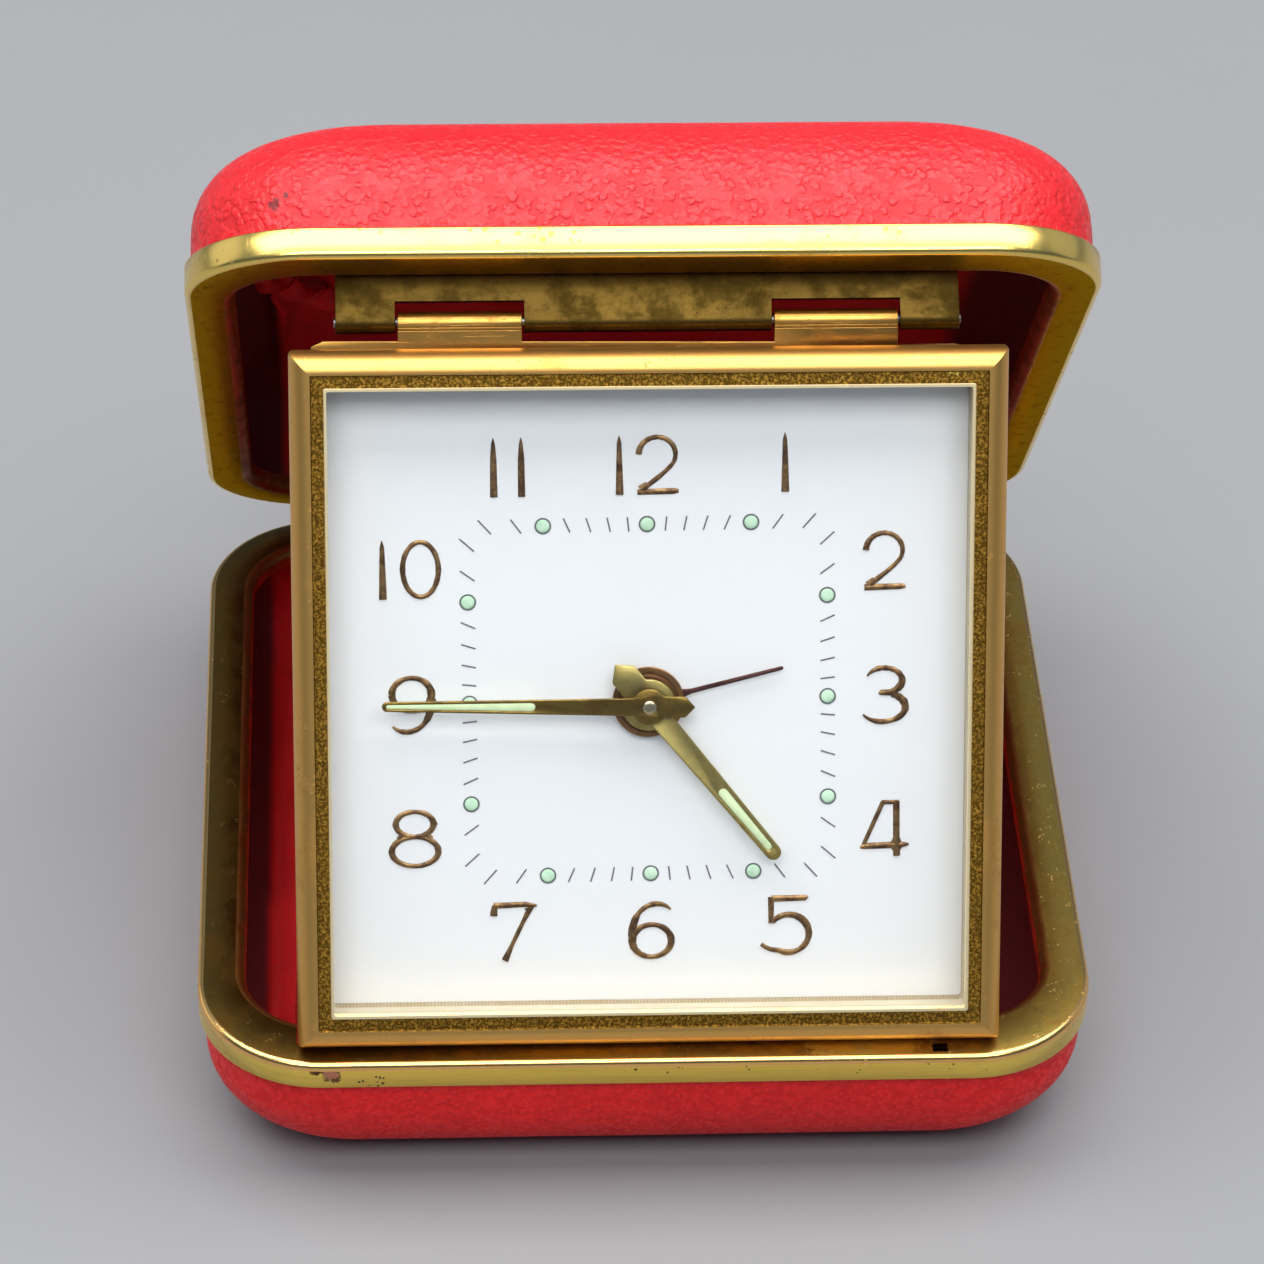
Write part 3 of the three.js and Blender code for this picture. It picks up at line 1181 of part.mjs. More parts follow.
// The clock hangs on its pin; its face group sits below and in front of the pin
function buildClock(clock) {
  clockLeaf(clock);
  const face = new THREE.Group();
  face.position.set(0, -PIN_BEHIND_FRONT, -PIN_ABOVE_CLOCK - clockHalf);
  face.rotation.x = Math.PI / 2;
  clock.add(face);
  bezelPieces(face);
  dialPiece(face);
  casePiece(face);
  movementPlates(face);
  backCover(face);
  centreArbor(face);
  minuteHand(face);
  knob('time_setting_knob', handCentre, CENTRE_ARBOR_RADIUS, face);
  hourHand(face);
  alarmHand(face);
  minuteWheel(face);
  barrel('time_barrel', timeBarrelAt, face, angleBetween(timeBarrelAt, handCentre));
  barrel('alarm_barrel', alarmBarrelAt, face, 0);
  winder('time', timeBarrelAt, face, TIME_KEY_ANGLE);
  winder('alarm', alarmBarrelAt, face, ALARM_KEY_ANGLE);
  alarmSetter(face);
  trainWheel('third_wheel', thirdAt, thirdWheelDepth, THIRD_WHEEL_TEETH, centreWheelDepth - 0.1,
    0, meshPhase(angleBetween(thirdAt, handCentre), THIRD_PINION_LEAVES, false), face);
  trainWheel('fourth_wheel', fourthAt, fourthWheelDepth, FOURTH_WHEEL_TEETH, thirdWheelDepth - 0.1,
    0, 0, face);
  escapement(face);
  balance(face);
  hairspring(face);
  alarmHammer(face);
  regulator(face);
  stopLever(face);
}

// At rest the lid, the clock and the base make a triangle: the case axis, the clock's pin and the
// rear lower edge of the bezel, which stands on the front flat of the base rim.
function restAngles() {
  const footY = -CASE_DEPTH / 2 + CLOCK_FOOT_PLACE - axisY;
  const footZ = rimTop + CLOCK_FOOT_GAP - axisZ;
  const lidArm = Math.hypot(pinAlong, pinDrop);
  const footBack = BEZEL_DEPTH - PIN_BEHIND_FRONT;
  const footDown = PIN_ABOVE_CLOCK + CLOCK_SIZE;
  const clockArm = Math.hypot(footBack, footDown);
  const span = Math.hypot(footY, footZ);
  const atAxis = Math.acos((lidArm ** 2 + span ** 2 - clockArm ** 2) / (2 * lidArm * span));
  const footAngle = Math.atan2(-footZ, -footY);
  const armAngle = atAxis - footAngle;
  const open = armAngle + Math.atan2(pinDrop, pinAlong);
  const pinY = -lidArm * Math.cos(armAngle);
  const pinZ = lidArm * Math.sin(armAngle);
  const lean = Math.atan2(pinY - footY, pinZ - footZ) + Math.atan2(footBack, footDown);
  return { open, lean };
}

const model = new THREE.Group();
buildBase(model);
const rest = restAngles();
const lid = new THREE.Group();
lid.position.set(0, axisY, axisZ);
lid.rotation.x = -rest.open;
model.add(lid);
buildLid(lid);
const clock = new THREE.Group();
clock.position.set(0, -pinAlong, -pinDrop);
clock.rotation.x = rest.open - rest.lean;
lid.add(clock);
buildClock(clock);

export default model;
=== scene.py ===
"""Folding travel alarm clock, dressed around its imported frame. Sizes are in millimetres until they are placed."""

import json
import logging
import math
from dataclasses import dataclass, field, replace
from enum import Enum
from typing import Callable, Optional, Sequence, Union

import bmesh
import bpy
from mathutils import Matrix, Vector, noise


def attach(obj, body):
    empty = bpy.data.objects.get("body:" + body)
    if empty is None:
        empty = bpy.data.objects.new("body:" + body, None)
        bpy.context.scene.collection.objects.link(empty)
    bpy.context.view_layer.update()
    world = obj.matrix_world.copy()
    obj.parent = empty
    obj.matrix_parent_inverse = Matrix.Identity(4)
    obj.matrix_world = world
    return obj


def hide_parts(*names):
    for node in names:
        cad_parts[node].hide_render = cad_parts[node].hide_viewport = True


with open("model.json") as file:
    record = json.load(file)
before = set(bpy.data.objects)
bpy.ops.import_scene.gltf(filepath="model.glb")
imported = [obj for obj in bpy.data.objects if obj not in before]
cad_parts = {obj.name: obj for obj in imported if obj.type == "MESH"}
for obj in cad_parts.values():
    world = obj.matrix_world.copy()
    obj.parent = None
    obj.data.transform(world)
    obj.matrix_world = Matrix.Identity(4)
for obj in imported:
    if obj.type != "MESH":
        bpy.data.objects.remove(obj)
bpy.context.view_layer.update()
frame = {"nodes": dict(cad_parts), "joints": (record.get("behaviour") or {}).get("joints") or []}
LOG = logging.getLogger("travel_clock")

MM = 0.001
Point = tuple[float, float, float]
Flat = tuple[float, float]
Shape = tuple[list[Point], list[list[int]]]
Stroke = tuple[list[Flat], tuple[float, ...]]
Socket = bpy.types.NodeSocket
Value = Union[Socket, float, tuple]


# Colour and shader helpers


def tone(red: int, green: int, blue: int) -> tuple[float, float, float, float]:
    """Turns display colour values into the linear colour that a shader takes.

    Args:
        red: Red from 0 to 255.
        green: Green from 0 to 255.
        blue: Blue from 0 to 255.

    Returns:
        The linear colour with full opacity.
    """

    def linear(value: float) -> float:
        """Returns one linear channel."""
        share = value / 255
        return share / 12.92 if share <= 0.04045 else ((share + 0.055) / 1.055) ** 2.4

    return (linear(red), linear(green), linear(blue), 1.0)


class Canvas:
    """Lays out shader nodes in one node tree."""

    def __init__(self, tree: bpy.types.NodeTree) -> None:
        """Keeps the tree that the nodes go in."""
        self.tree = tree

    def feed(self, socket: Socket, value: Value) -> None:
        """Links a socket to another, or sets its constant.

        Args:
            socket: The input to fill.
            value: The other socket, or the constant.
        """
        if isinstance(value, bpy.types.NodeSocket):
            self.tree.links.new(value, socket)
        else:
            socket.default_value = value

    def add(self, kind: str, inputs: Optional[dict] = None, **settings: object) -> bpy.types.Node:
        """Adds one node.

        Args:
            kind: The node's type name.
            inputs: Input names or places, with their values.
            **settings: The node's own properties.

        Returns:
            The new node.
        """
        node = self.tree.nodes.new(kind)
        for name, value in settings.items():
            setattr(node, name, value)
        for name, value in (inputs or {}).items():
            self.feed(node.inputs[name], value)
        return node

    def math(self, operation: str, first: Value, second: Value = 0.0, clamp: bool = False) -> Socket:
        """Returns the result of one arithmetic step."""
        node = self.add("ShaderNodeMath", {0: first, 1: second}, operation=operation, use_clamp=clamp)
        return node.outputs[0]

    def times(self, first: Value, second: Value) -> Socket:
        """Returns a product."""
        return self.math("MULTIPLY", first, second)

    def plus(self, first: Value, second: Value, clamp: bool = False) -> Socket:
        """Returns a sum."""
        return self.math("ADD", first, second, clamp)

    def minus(self, first: Value, second: Value) -> Socket:
        """Returns a difference."""
        return self.math("SUBTRACT", first, second)

    def measured(self, operation: str, first: Value, second: Value) -> Socket:
        """Returns the number that one vector step gives."""
        return self.add("ShaderNodeVectorMath", {0: first, 1: second}, operation=operation).outputs["Value"]

    def part(self, vector: Socket, axis: str) -> Socket:
        """Returns one coordinate of a vector."""
        return self.add("ShaderNodeSeparateXYZ", {0: vector}).outputs[axis]

    def surface(self, inputs: dict) -> Socket:
        """Adds the surface shader with its inputs and returns it."""
        return self.add("ShaderNodeBsdfPrincipled", inputs).outputs[0]

    def scaled(self, vector: Socket, scale: Point) -> Socket:
        """Returns a vector stretched by three numbers."""
        return self.add("ShaderNodeMapping", {"Vector": vector, "Scale": scale}).outputs["Vector"]

    def clouds(self, vector: Socket, scale: Value, detail: float = 3.0, rough: float = 0.55) -> Socket:
        """Returns a soft noise value."""
        inputs = {"Vector": vector, "Scale": scale, "Detail": detail, "Roughness": rough}
        return self.add("ShaderNodeTexNoise", inputs).outputs["Fac"]

    def cells(self, vector: Socket, scale: Value) -> Socket:
        """Returns the distance to the nearest middle of a cell pattern."""
        return self.add("ShaderNodeTexVoronoi", {"Vector": vector, "Scale": scale}).outputs["Distance"]

    def span(self, value: Value, low: Value, high: Value, start: float = 0.0, end: float = 1.0) -> Socket:
        """Returns a value eased from one range into another."""
        inputs = {"Value": value, "From Min": low, "From Max": high, "To Min": start, "To Max": end}
        return self.add("ShaderNodeMapRange", inputs, interpolation_type="SMOOTHSTEP").outputs["Result"]

    def blend(self, share: Value, first: Value, second: Value) -> Socket:
        """Mixes two colours.

        Args:
            share: Share of the second colour.
            first: The colour at 0.
            second: The colour at 1.

        Returns:
            The mixed colour.
        """
        node = self.add("ShaderNodeMix", {"Factor": share}, data_type="RGBA")
        self.feed(node.inputs[6], first)
        self.feed(node.inputs[7], second)
        return node.outputs[2]

    def spot(self, vector: Socket, centre: Point, radius: float, ragged: float) -> Socket:
        """Returns a mask round a point, with a ragged edge.

        Args:
            vector: Object coordinates.
            centre: The point in millimetres.
            radius: Reach of the mask in millimetres.
            ragged: Unevenness of its edge, as a share of the radius.

        Returns:
            1 inside, 0 outside.
        """
        size = radius * MM
        place = tuple(value * MM for value in centre)
        far = self.measured("DISTANCE", vector, place)
        wobble = self.minus(self.clouds(vector, 1.4 / size, 5.0, 0.7), 0.5)
        reach = self.plus(far, self.times(wobble, 2.4 * ragged * size))
        return self.span(reach, size, 0.8 * size)

    def line(self, vector: Socket, across: Point, offset: float, width: float) -> Socket:
        """Returns a straight thin line, as a mask.

        Args:
            vector: Object coordinates.
            across: Direction at right angles to the line.
            offset: Distance of the line along that direction, in millimetres.
            width: Half the width of the line in millimetres.

        Returns:
            1 on the line, 0 away from it.
        """
        along = self.measured("DOT_PRODUCT", vector, across)
        away = self.math("ABSOLUTE", self.minus(along, offset * MM))
        return self.span(away, width * MM, 0.0)

    def relief(self, height: Socket, depth: float, strength: float) -> Socket:
        """Returns a normal bent by a height, with the depth in millimetres."""
        node = self.add("ShaderNodeBump", {"Height": height, "Distance": depth * MM, "Strength": strength})
        return node.outputs["Normal"]


@dataclass(frozen=True)
class Effect:
    """A shader node group with named sockets, built once and shared by the finishes.

    Attributes:
        name: The group's name.
        inputs: Input names with their socket kinds and defaults.
        outputs: Output names, all plain values.
        draw: Draws the nodes and returns the value of each output.
    """

    name: str
    inputs: tuple[tuple[str, str, object], ...]
    outputs: tuple[str, ...]
    draw: Callable[[Canvas, dict[str, Socket]], dict[str, Socket]]

    def tree(self) -> bpy.types.NodeTree:
        """Finds the group's tree, or builds it at first use.

        Returns:
            The tree.
        """
        found = bpy.data.node_groups.get(self.name)
        if found:
            return found
        made = bpy.data.node_groups.new(self.name, "ShaderNodeTree")
        for name, kind, default in self.inputs:
            socket = made.interface.new_socket(name=name, in_out="INPUT", socket_type=kind)
            if default is not None:
                socket.default_value = default
        for name in self.outputs:
            made.interface.new_socket(name=name, in_out="OUTPUT", socket_type="NodeSocketFloat")
        canvas = Canvas(made)
        source = canvas.add("NodeGroupInput")
        results = self.draw(canvas, {name: source.outputs[name] for name, _, _ in self.inputs})
        canvas.add("NodeGroupOutput", results)
        return made

    def place(self, canvas: Canvas, **values: Value) -> dict[str, Socket]:
        """Puts the group into a material.

        Args:
            canvas: The material's canvas.
            **values: Input values by name.

        Returns:
            The group's outputs by name.
        """
        node = canvas.add("ShaderNodeGroup", node_tree=self.tree())
        for name, value in values.items():
            canvas.feed(node.inputs[name], value)
        return {name: node.outputs[name] for name in self.outputs}


VECTOR = ("Vector", "NodeSocketVector", None)


def draw_pebbles(canvas: Canvas, given: dict[str, Socket]) -> dict[str, Socket]:
    """Draws low pebbles whose creases come and go, with fine pores on them.

    Args:
        canvas: The group's canvas.
        given: The group's inputs by name.

    Returns:
        The height of the grain and a mask of its creases.
    """
    scale = given["Scale"]
    wander = canvas.add("ShaderNodeTexNoise", {"Vector": given["Vector"], "Scale": scale, "Detail": 2.0})
    shift = canvas.add(
        "ShaderNodeVectorMath", {0: wander.outputs["Color"], 1: (0.5, 0.5, 0.5)}, operation="SUBTRACT"
    )
    reach = canvas.math("DIVIDE", given["Wander"], scale)
    moved = canvas.add("ShaderNodeVectorMath", {0: shift.outputs[0], "Scale": reach}, operation="SCALE")
    vector = canvas.add(
        "ShaderNodeVectorMath", {0: given["Vector"], 1: moved.outputs[0]}, operation="ADD"
    ).outputs[0]
    away = canvas.cells(vector, scale)
    broken = canvas.span(canvas.clouds(vector, canvas.times(scale, 0.5), 3.0), 0.35, 0.6, 0.4, 1.0)
    crease = canvas.times(canvas.span(away, 0.22, 0.66), broken)
    swell = canvas.clouds(vector, canvas.times(scale, 1.3), 3.0)
    pores = canvas.clouds(vector, canvas.times(scale, 6.0), 2.0)
    height = canvas.minus(canvas.times(swell, 0.6), canvas.times(crease, 0.9))
    height = canvas.plus(height, canvas.times(pores, 0.14))
    return {"Height": height, "Crease": crease}


def draw_patina(canvas: Canvas, given: dict[str, Socket]) -> dict[str, Socket]:
    """Draws cloudy tarnish, small dark specks and fine crossing scratches.

    Args:
        canvas: The group's canvas.
        given: The group's inputs by name.

    Returns:
        Masks of the tarnish, specks and scratches, and a fine grain.
    """
    vector = given["Vector"]
    broad = canvas.clouds(vector, given["Scale"], 6.0, 0.65)
    cut = canvas.minus(0.78, canvas.times(given["Cover"], 0.5))
    stain = canvas.span(broad, canvas.minus(cut, 0.12), canvas.plus(cut, 0.12))
    spread = canvas.clouds(vector, canvas.times(given["Scale"], 2.2), 3.0)
    spots = canvas.cells(vector, canvas.times(given["Scale"], 14.0))
    size = canvas.times(canvas.span(spread, 0.42, 0.72), 0.34)
    specks = canvas.span(canvas.minus(size, spots), 0.0, 0.1)
    one = canvas.clouds(canvas.scaled(vector, (1.0, 26.0, 26.0)), given["Scale"], 3.0)
    two = canvas.clouds(canvas.scaled(vector, (22.0, 2.5, 1.2)), given["Scale"], 3.0)
    lines = canvas.math("MAXIMUM", canvas.span(one, 0.6, 0.72), canvas.span(two, 0.62, 0.74))
    fine = canvas.clouds(vector, canvas.times(given["Scale"], 18.0), 4.0, 0.7)
    return {"Stain": stain, "Specks": specks, "Scratches": lines, "Grain": fine}


def draw_weave(canvas: Canvas, given: dict[str, Socket]) -> dict[str, Socket]:
    """Draws crossing threads with uneven pull.

    Args:
        canvas: The group's canvas.
        given: The group's inputs by name.

    Returns:
        The height of the threads.
    """
    pull = canvas.clouds(given["Vector"], canvas.times(given["Scale"], 0.08), 3.0)
    threads = []
    for axis in ("X", "Y", "Z"):
        turn = canvas.times(canvas.part(given["Vector"], axis), given["Scale"])
        threads.append(canvas.math("SINE", canvas.plus(turn, canvas.times(pull, 3.0))))
    weave = canvas.times(threads[0], threads[1])
    weave = canvas.plus(weave, canvas.times(threads[2], 0.5))
    return {"Thread": canvas.span(weave, -1.2, 1.2)}


def draw_mottle(canvas: Canvas, given: dict[str, Socket]) -> dict[str, Socket]:
    """Draws faint clouding with rare small marks.

    Args:
        canvas: The group's canvas.
        given: The group's inputs by name.

    Returns:
        The clouding and a mask of the marks.
    """
    cloud = canvas.clouds(given["Vector"], given["Scale"], 4.0, 0.6)
    ring = canvas.cells(given["Vector"], canvas.times(given["Scale"], 3.0))
    rare = canvas.span(canvas.clouds(given["Vector"], canvas.times(given["Scale"], 0.9)), 0.6, 0.75)
    return {"Cloud": cloud, "Marks": canvas.times(canvas.span(ring, 0.12, 0.05), rare)}


SCALE = ("Scale", "NodeSocketFloat", 100.0)
PEBBLES = Effect(
    "pebbled_grain", (VECTOR, SCALE, ("Wander", "NodeSocketFloat", 0.8)), ("Height", "Crease"), draw_pebbles
)
PATINA = Effect(
    "metal_patina",
    (VECTOR, SCALE, ("Cover", "NodeSocketFloat", 0.5)),
    ("Stain", "Specks", "Scratches", "Grain"),
    draw_patina,
)
WEAVE = Effect("thread_weave", (VECTOR, SCALE), ("Thread",), draw_weave)
MOTTLE = Effect("faint_mottle", (VECTOR, SCALE), ("Cloud", "Marks"), draw_mottle)


class Finish:
    """A surface finish that makes its material at first use.

    Attributes:
        name: The material's name.
    """

    name: str

    def material(self) -> bpy.types.Material:
        """Finds the finish's material, or makes it at first use.

        Returns:
            The material.
        """
        found = bpy.data.materials.get(self.name)
        if found:
            return found
        made = bpy.data.materials.new(self.name)
        made.use_nodes = True
        made.node_tree.nodes.clear()
        canvas = Canvas(made.node_tree)
        vector = canvas.add("ShaderNodeTexCoord").outputs["Object"]
        shader = self.shade(canvas, vector)
        canvas.add("ShaderNodeOutputMaterial", {"Surface": shader})
        return made

    def shade(self, canvas: Canvas, vector: Socket) -> Socket:
        """Draws the finish's nodes and returns its shader."""
        raise NotImplementedError


@dataclass(frozen=True)
class Leatherette(Finish):
    """Pebbled coated cloth.

    Attributes:
        name: The material's name.
        light: Colour on the pebbles.
        deep: Colour that the creases darken to, as painted shade, and that the colour clouds lean to.
        scale: Pebbles to a metre.
        relief: Height of the grain in millimetres.
        roughness: Roughness on the pebbles.
        scuffs: Small dark scuffs, each a centre and a radius in millimetres.
        stain: Colour of the rare small marks.
        worn: Colour of the scuffs.
    """

    name: str
    light: tuple
    deep: tuple
    scale: float = 1350.0
    relief: float = 0.15
    roughness: float = 0.33
    scuffs: tuple = ()
    stain: tuple = tone(120, 10, 14)
    worn: tuple = tone(74, 28, 26)

    def shade(self, canvas: Canvas, vector: Socket) -> Socket:
        """Draws grain, creases with painted shade in them, soft colour clouds and handling gloss.

        Args:
            canvas: The material's canvas.
            vector: Object coordinates.

        Returns:
            The surface shader.
        """
        grain = PEBBLES.place(canvas, Vector=vector, Scale=self.scale, Wander=0.9)
        mottle = MOTTLE.place(canvas, Vector=vector, Scale=60.0)
        cloud = canvas.span(mottle["Cloud"], 0.3, 0.75, 0.0, 0.4)
        # Painted shade: the creases darken the colour, on top of the random colour clouds.
        share = canvas.plus(canvas.times(grain["Crease"], 0.4), cloud, True)
        colour = canvas.blend(share, self.light, self.deep)
        colour = canvas.blend(canvas.times(mottle["Marks"], 0.35), colour, self.stain)
        for centre, radius in self.scuffs:
            worn = canvas.times(canvas.spot(vector, centre, radius, 1.4), 0.75)
            colour = canvas.blend(worn, colour, self.worn)
        rough = canvas.span(grain["Crease"], 0.0, 1.0, self.roughness, self.roughness + 0.22)
        return canvas.surface(
            {
                "Base Color": colour,
                "Roughness": rough,
                "IOR": 1.45,
                "Normal": canvas.relief(grain["Height"], self.relief, 0.8),
            }
        )


@dataclass(frozen=True)
class Metal(Finish):
    """Plated or bare metal with tarnish, specks and handling scratches.

    Attributes:
        name: The material's name.
        bright: Colour where the plating is clean.
        dull: Colour of the tarnish.
        roughness: Roughness of the clean metal.
        cover: Share of the surface that has tarnished.
        scale: Size of the pattern, in repeats to a metre.
        specks: Strength of the specks.
        speck: Colour of the specks.
        scratch: Depth of the scratches in millimetres.
        grain: Depth of the fine surface grain in millimetres.
        score: How far the scratches show the clean metal.
        brushed: Strength of fine level lines.
        spots: Stained or rubbed places, each a centre and a radius in millimetres and a colour; on the base's flat one
            of them is a painted reflection.
        lean: Painted dark reflection towards one side: from and to along x in millimetres, and how far.
        glance: Tint at glancing angles.
        seams: Straight seams, each a direction across it, an offset and a half width in millimetres.
        shadow: Colour of that painted dark reflection.
        joint: Colour in the seams.
    """

    name: str
    bright: tuple
    dull: tuple
    roughness: float = 0.28
    cover: float = 0.35
    scale: float = 90.0
    specks: float = 0.6
    scratch: float = 0.004
    grain: float = 0.003
    score: float = 0.0
    brushed: float = 0.0
    speck: tuple = tone(48, 28, 10)
    spots: tuple = ()
    lean: tuple = ()
    glance: tuple = (1.0, 1.0, 1.0, 1.0)
    seams: tuple = ()
    shadow: tuple = tone(64, 36, 10)
    joint: tuple = tone(66, 40, 14)

    def shade(self, canvas: Canvas, vector: Socket) -> Socket:
        """Draws the metal's colour, gloss and surface.

        Args:
            canvas: The material's canvas.
            vector: Object coordinates.

        Returns:
            The surface shader.
        """
        wear = PATINA.place(canvas, Vector=vector, Scale=self.scale, Cover=self.cover)
        colour = canvas.blend(canvas.times(wear["Stain"], 0.85), self.bright, self.dull)
        colour = canvas.blend(canvas.times(wear["Specks"], self.specks), colour, self.speck)
        rough = canvas.plus(self.roughness, canvas.times(wear["Stain"], 0.16))
        rough = canvas.plus(rough, canvas.times(wear["Specks"], 0.25))
        height = canvas.times(wear["Scratches"], -self.scratch)
        height = canvas.plus(height, canvas.times(wear["Grain"], self.grain))
        height = canvas.minus(height, canvas.times(wear["Specks"], self.specks * 0.01))
        if self.score:
            colour = canvas.blend(canvas.times(wear["Scratches"], self.score), colour, self.bright)
        if self.brushed:
            lines = canvas.clouds(canvas.scaled(vector, (1.0, 1.0, 60.0)), 120.0, 3.0)
            colour = canvas.blend(canvas.span(lines, 0.45, 0.7, 0.0, self.brushed), colour, self.dull)
            height = canvas.plus(height, canvas.times(lines, 0.01 * self.brushed))
        # Painted reflection: the colour darkens along x towards the side whose flat mirrors the dark inside of the
        # case.
        if self.lean:
            start, end, most = self.lean
            lean = canvas.span(canvas.part(vector, "X"), start * MM, end * MM, 0.0, most)
            colour = canvas.blend(lean, colour, self.shadow)
        for centre, radius, stain in self.spots:
            ragged = 1.1 if radius > 0.3 else 0.2
            colour = canvas.blend(canvas.spot(vector, centre, radius, ragged), colour, stain)
        for across, offset, width in self.seams:
            seam = canvas.line(vector, across, offset, width)
            colour = canvas.blend(canvas.times(seam, 0.8), colour, self.joint)
            height = canvas.minus(height, canvas.times(seam, 0.05))
        return canvas.surface(
            {
                "Base Color": colour,
                "Metallic": 1.0,
                "Roughness": rough,
                "Specular Tint": self.glance,
                "Normal": canvas.relief(height, 1.0, 0.8),
            }
        )


@dataclass(frozen=True)
class Cloth(Finish):
    """Satin cloth with a fine thread.

    Attributes:
        name: The material's name.
        light: Colour on the raised threads.
        deep: Colour between them.
        threads: Radians of thread to a metre.
        hollow: Colour of the painted shade where the cloth dips away beside the walls.
        left_edge: Where the painted shade on the left begins, in millimetres.
        right_edge: Where the painted shade on the right begins.
        left_fade: How far the left painted shade takes to deepen.
        right_fade: How far the right painted shade takes.
    """

    name: str
    light: tuple
    deep: tuple
    threads: float = 90000.0
    hollow: tuple = tone(46, 0, 3)
    left_edge: float = -31.2
    right_edge: float = 29.6
    left_fade: float = 0.9
    right_fade: float = 2.0

    def shade(self, canvas: Canvas, vector: Socket) -> Socket:
        """Draws threads, uneven nap, sheen and painted shade beside the walls.

        Args:
            canvas: The material's canvas.
            vector: Object coordinates.

        Returns:
            The surface shader.
        """
        weave = WEAVE.place(canvas, Vector=vector, Scale=self.threads)
        nap = MOTTLE.place(canvas, Vector=vector, Scale=140.0)
        share = canvas.times(weave["Thread"], canvas.span(nap["Cloud"], 0.25, 0.7, 0.5, 1.0))
        colour = canvas.blend(share, self.deep, self.light)
        # Painted shade: the colour darkens towards the walls on each side, where the cloth lies in shade under the rim.
        across = canvas.plus(canvas.part(vector, "X"), canvas.times(nap["Cloud"], 0.5 * MM))
        left = canvas.span(across, self.left_edge * MM, (self.left_edge - self.left_fade) * MM)
        right = canvas.span(across, self.right_edge * MM, (self.right_edge + self.right_fade) * MM)
        shade_share = canvas.times(canvas.math("MAXIMUM", left, right), 0.85)
        return canvas.surface(
            {
                "Base Color": canvas.blend(shade_share, colour, self.hollow),
                "Roughness": canvas.span(nap["Cloud"], 0.3, 0.7, 0.5, 0.75),
                "Sheen Weight": 0.06,
                "Sheen Roughness": 0.4,
                "Sheen Tint": (1.0, 0.25, 0.25, 1.0),
                "Normal": canvas.relief(weave["Thread"], 0.012, 0.5),
            }
        )


@dataclass(frozen=True)
class Lacquer(Finish):
    """Paint, print or luminous filling: an even colour with faint clouding.

    Attributes:
        name: The material's name.
        colour: The paint's colour.
        shade_colour: The colour it clouds towards.
        roughness: Mean roughness.
        clouding: Strength of the clouding.
        scale: Size of the clouding, in repeats to a metre.
        relief: Height of the surface's unevenness in millimetres.
    """

    name: str
    colour: tuple
    shade_colour: tuple
    roughness: float = 0.4
    clouding: float = 0.3
    scale: float = 160.0
    relief: float = 0.004

    def shade(self, canvas: Canvas, vector: Socket) -> Socket:
        """Draws the paint.

        Args:
            canvas: The material's canvas.
            vector: Object coordinates.

        Returns:
            The surface shader.
        """
        mottle = MOTTLE.place(canvas, Vector=vector, Scale=self.scale)
        share = canvas.span(mottle["Cloud"], 0.35, 0.8, 0.0, self.clouding)
        share = canvas.plus(share, canvas.times(mottle["Marks"], self.clouding), True)
        return canvas.surface(
            {
                "Base Color": canvas.blend(share, self.colour, self.shade_colour),
                "Roughness": canvas.span(mottle["Cloud"], 0.2, 0.8, self.roughness - 0.06, self.roughness + 0.1),
                "Normal": canvas.relief(mottle["Cloud"], self.relief, 0.6),
            }
        )


@dataclass(frozen=True)
class Ribbed(Finish):
    """Ivory moulding with fine ribs across its wall.

    Attributes:
        name: The material's name.
        colour: Colour on the ribs.
        groove: Colour between them.
        up: The clock's own upward direction.
        pitch: Distance between ribs in millimetres.
    """

    name: str
    colour: tuple
    groove: tuple
    up: Point
    pitch: float = 0.28

    def shade(self, canvas: Canvas, vector: Socket) -> Socket:
        """Draws the ribs from the distance along each wall.

        Args:
            canvas: The material's canvas.
            vector: Object coordinates.

        Returns:
            The surface shader.
        """
        mottle = MOTTLE.place(canvas, Vector=vector, Scale=200.0)
        turns = math.tau / (self.pitch * MM)
        across = canvas.math("SINE", canvas.times(canvas.part(vector, "X"), turns))
        along = canvas.math("SINE", canvas.times(canvas.measured("DOT_PRODUCT", vector, self.up), turns))
        rib = canvas.span(canvas.plus(across, along), -1.6, 1.6)
        return canvas.surface(
            {
                "Base Color": canvas.blend(rib, self.groove, self.colour),
                "Roughness": canvas.span(mottle["Cloud"], 0.2, 0.8, 0.35, 0.5),
                "Normal": canvas.relief(rib, 0.05, 0.6),
            }
        )


@dataclass(frozen=True)
class Glazing(Finish):
    """Clear crystal with faint wipe marks, which lets the light through to the dial.

    Attributes:
        name: The material's name.
    """

    name: str

    def shade(self, canvas: Canvas, vector: Socket) -> Socket:
        """Draws the glass and lets shadow rays pass.

        Args:
            canvas: The material's canvas.
            vector: Object coordinates.

        Returns:
            The surface shader.
        """
        mottle = MOTTLE.place(canvas, Vector=vector, Scale=90.0)
        glass = canvas.surface(
            {
                "Base Color": (1.0, 1.0, 1.0, 1.0),
                "Roughness": canvas.span(mottle["Cloud"], 0.4, 0.8, 0.0, 0.04),
                "IOR": 1.3,
                "Transmission Weight": 1.0,
            }
        )
        clear = canvas.add("ShaderNodeBsdfTransparent")
        path = canvas.add("ShaderNodeLightPath")
        passing = canvas.math("MAXIMUM", path.outputs["Is Shadow Ray"], path.outputs["Is Diffuse Ray"])
        return canvas.add("ShaderNodeMixShader", {0: passing, 1: glass, 2: clear.outputs[0]}).outputs[0]


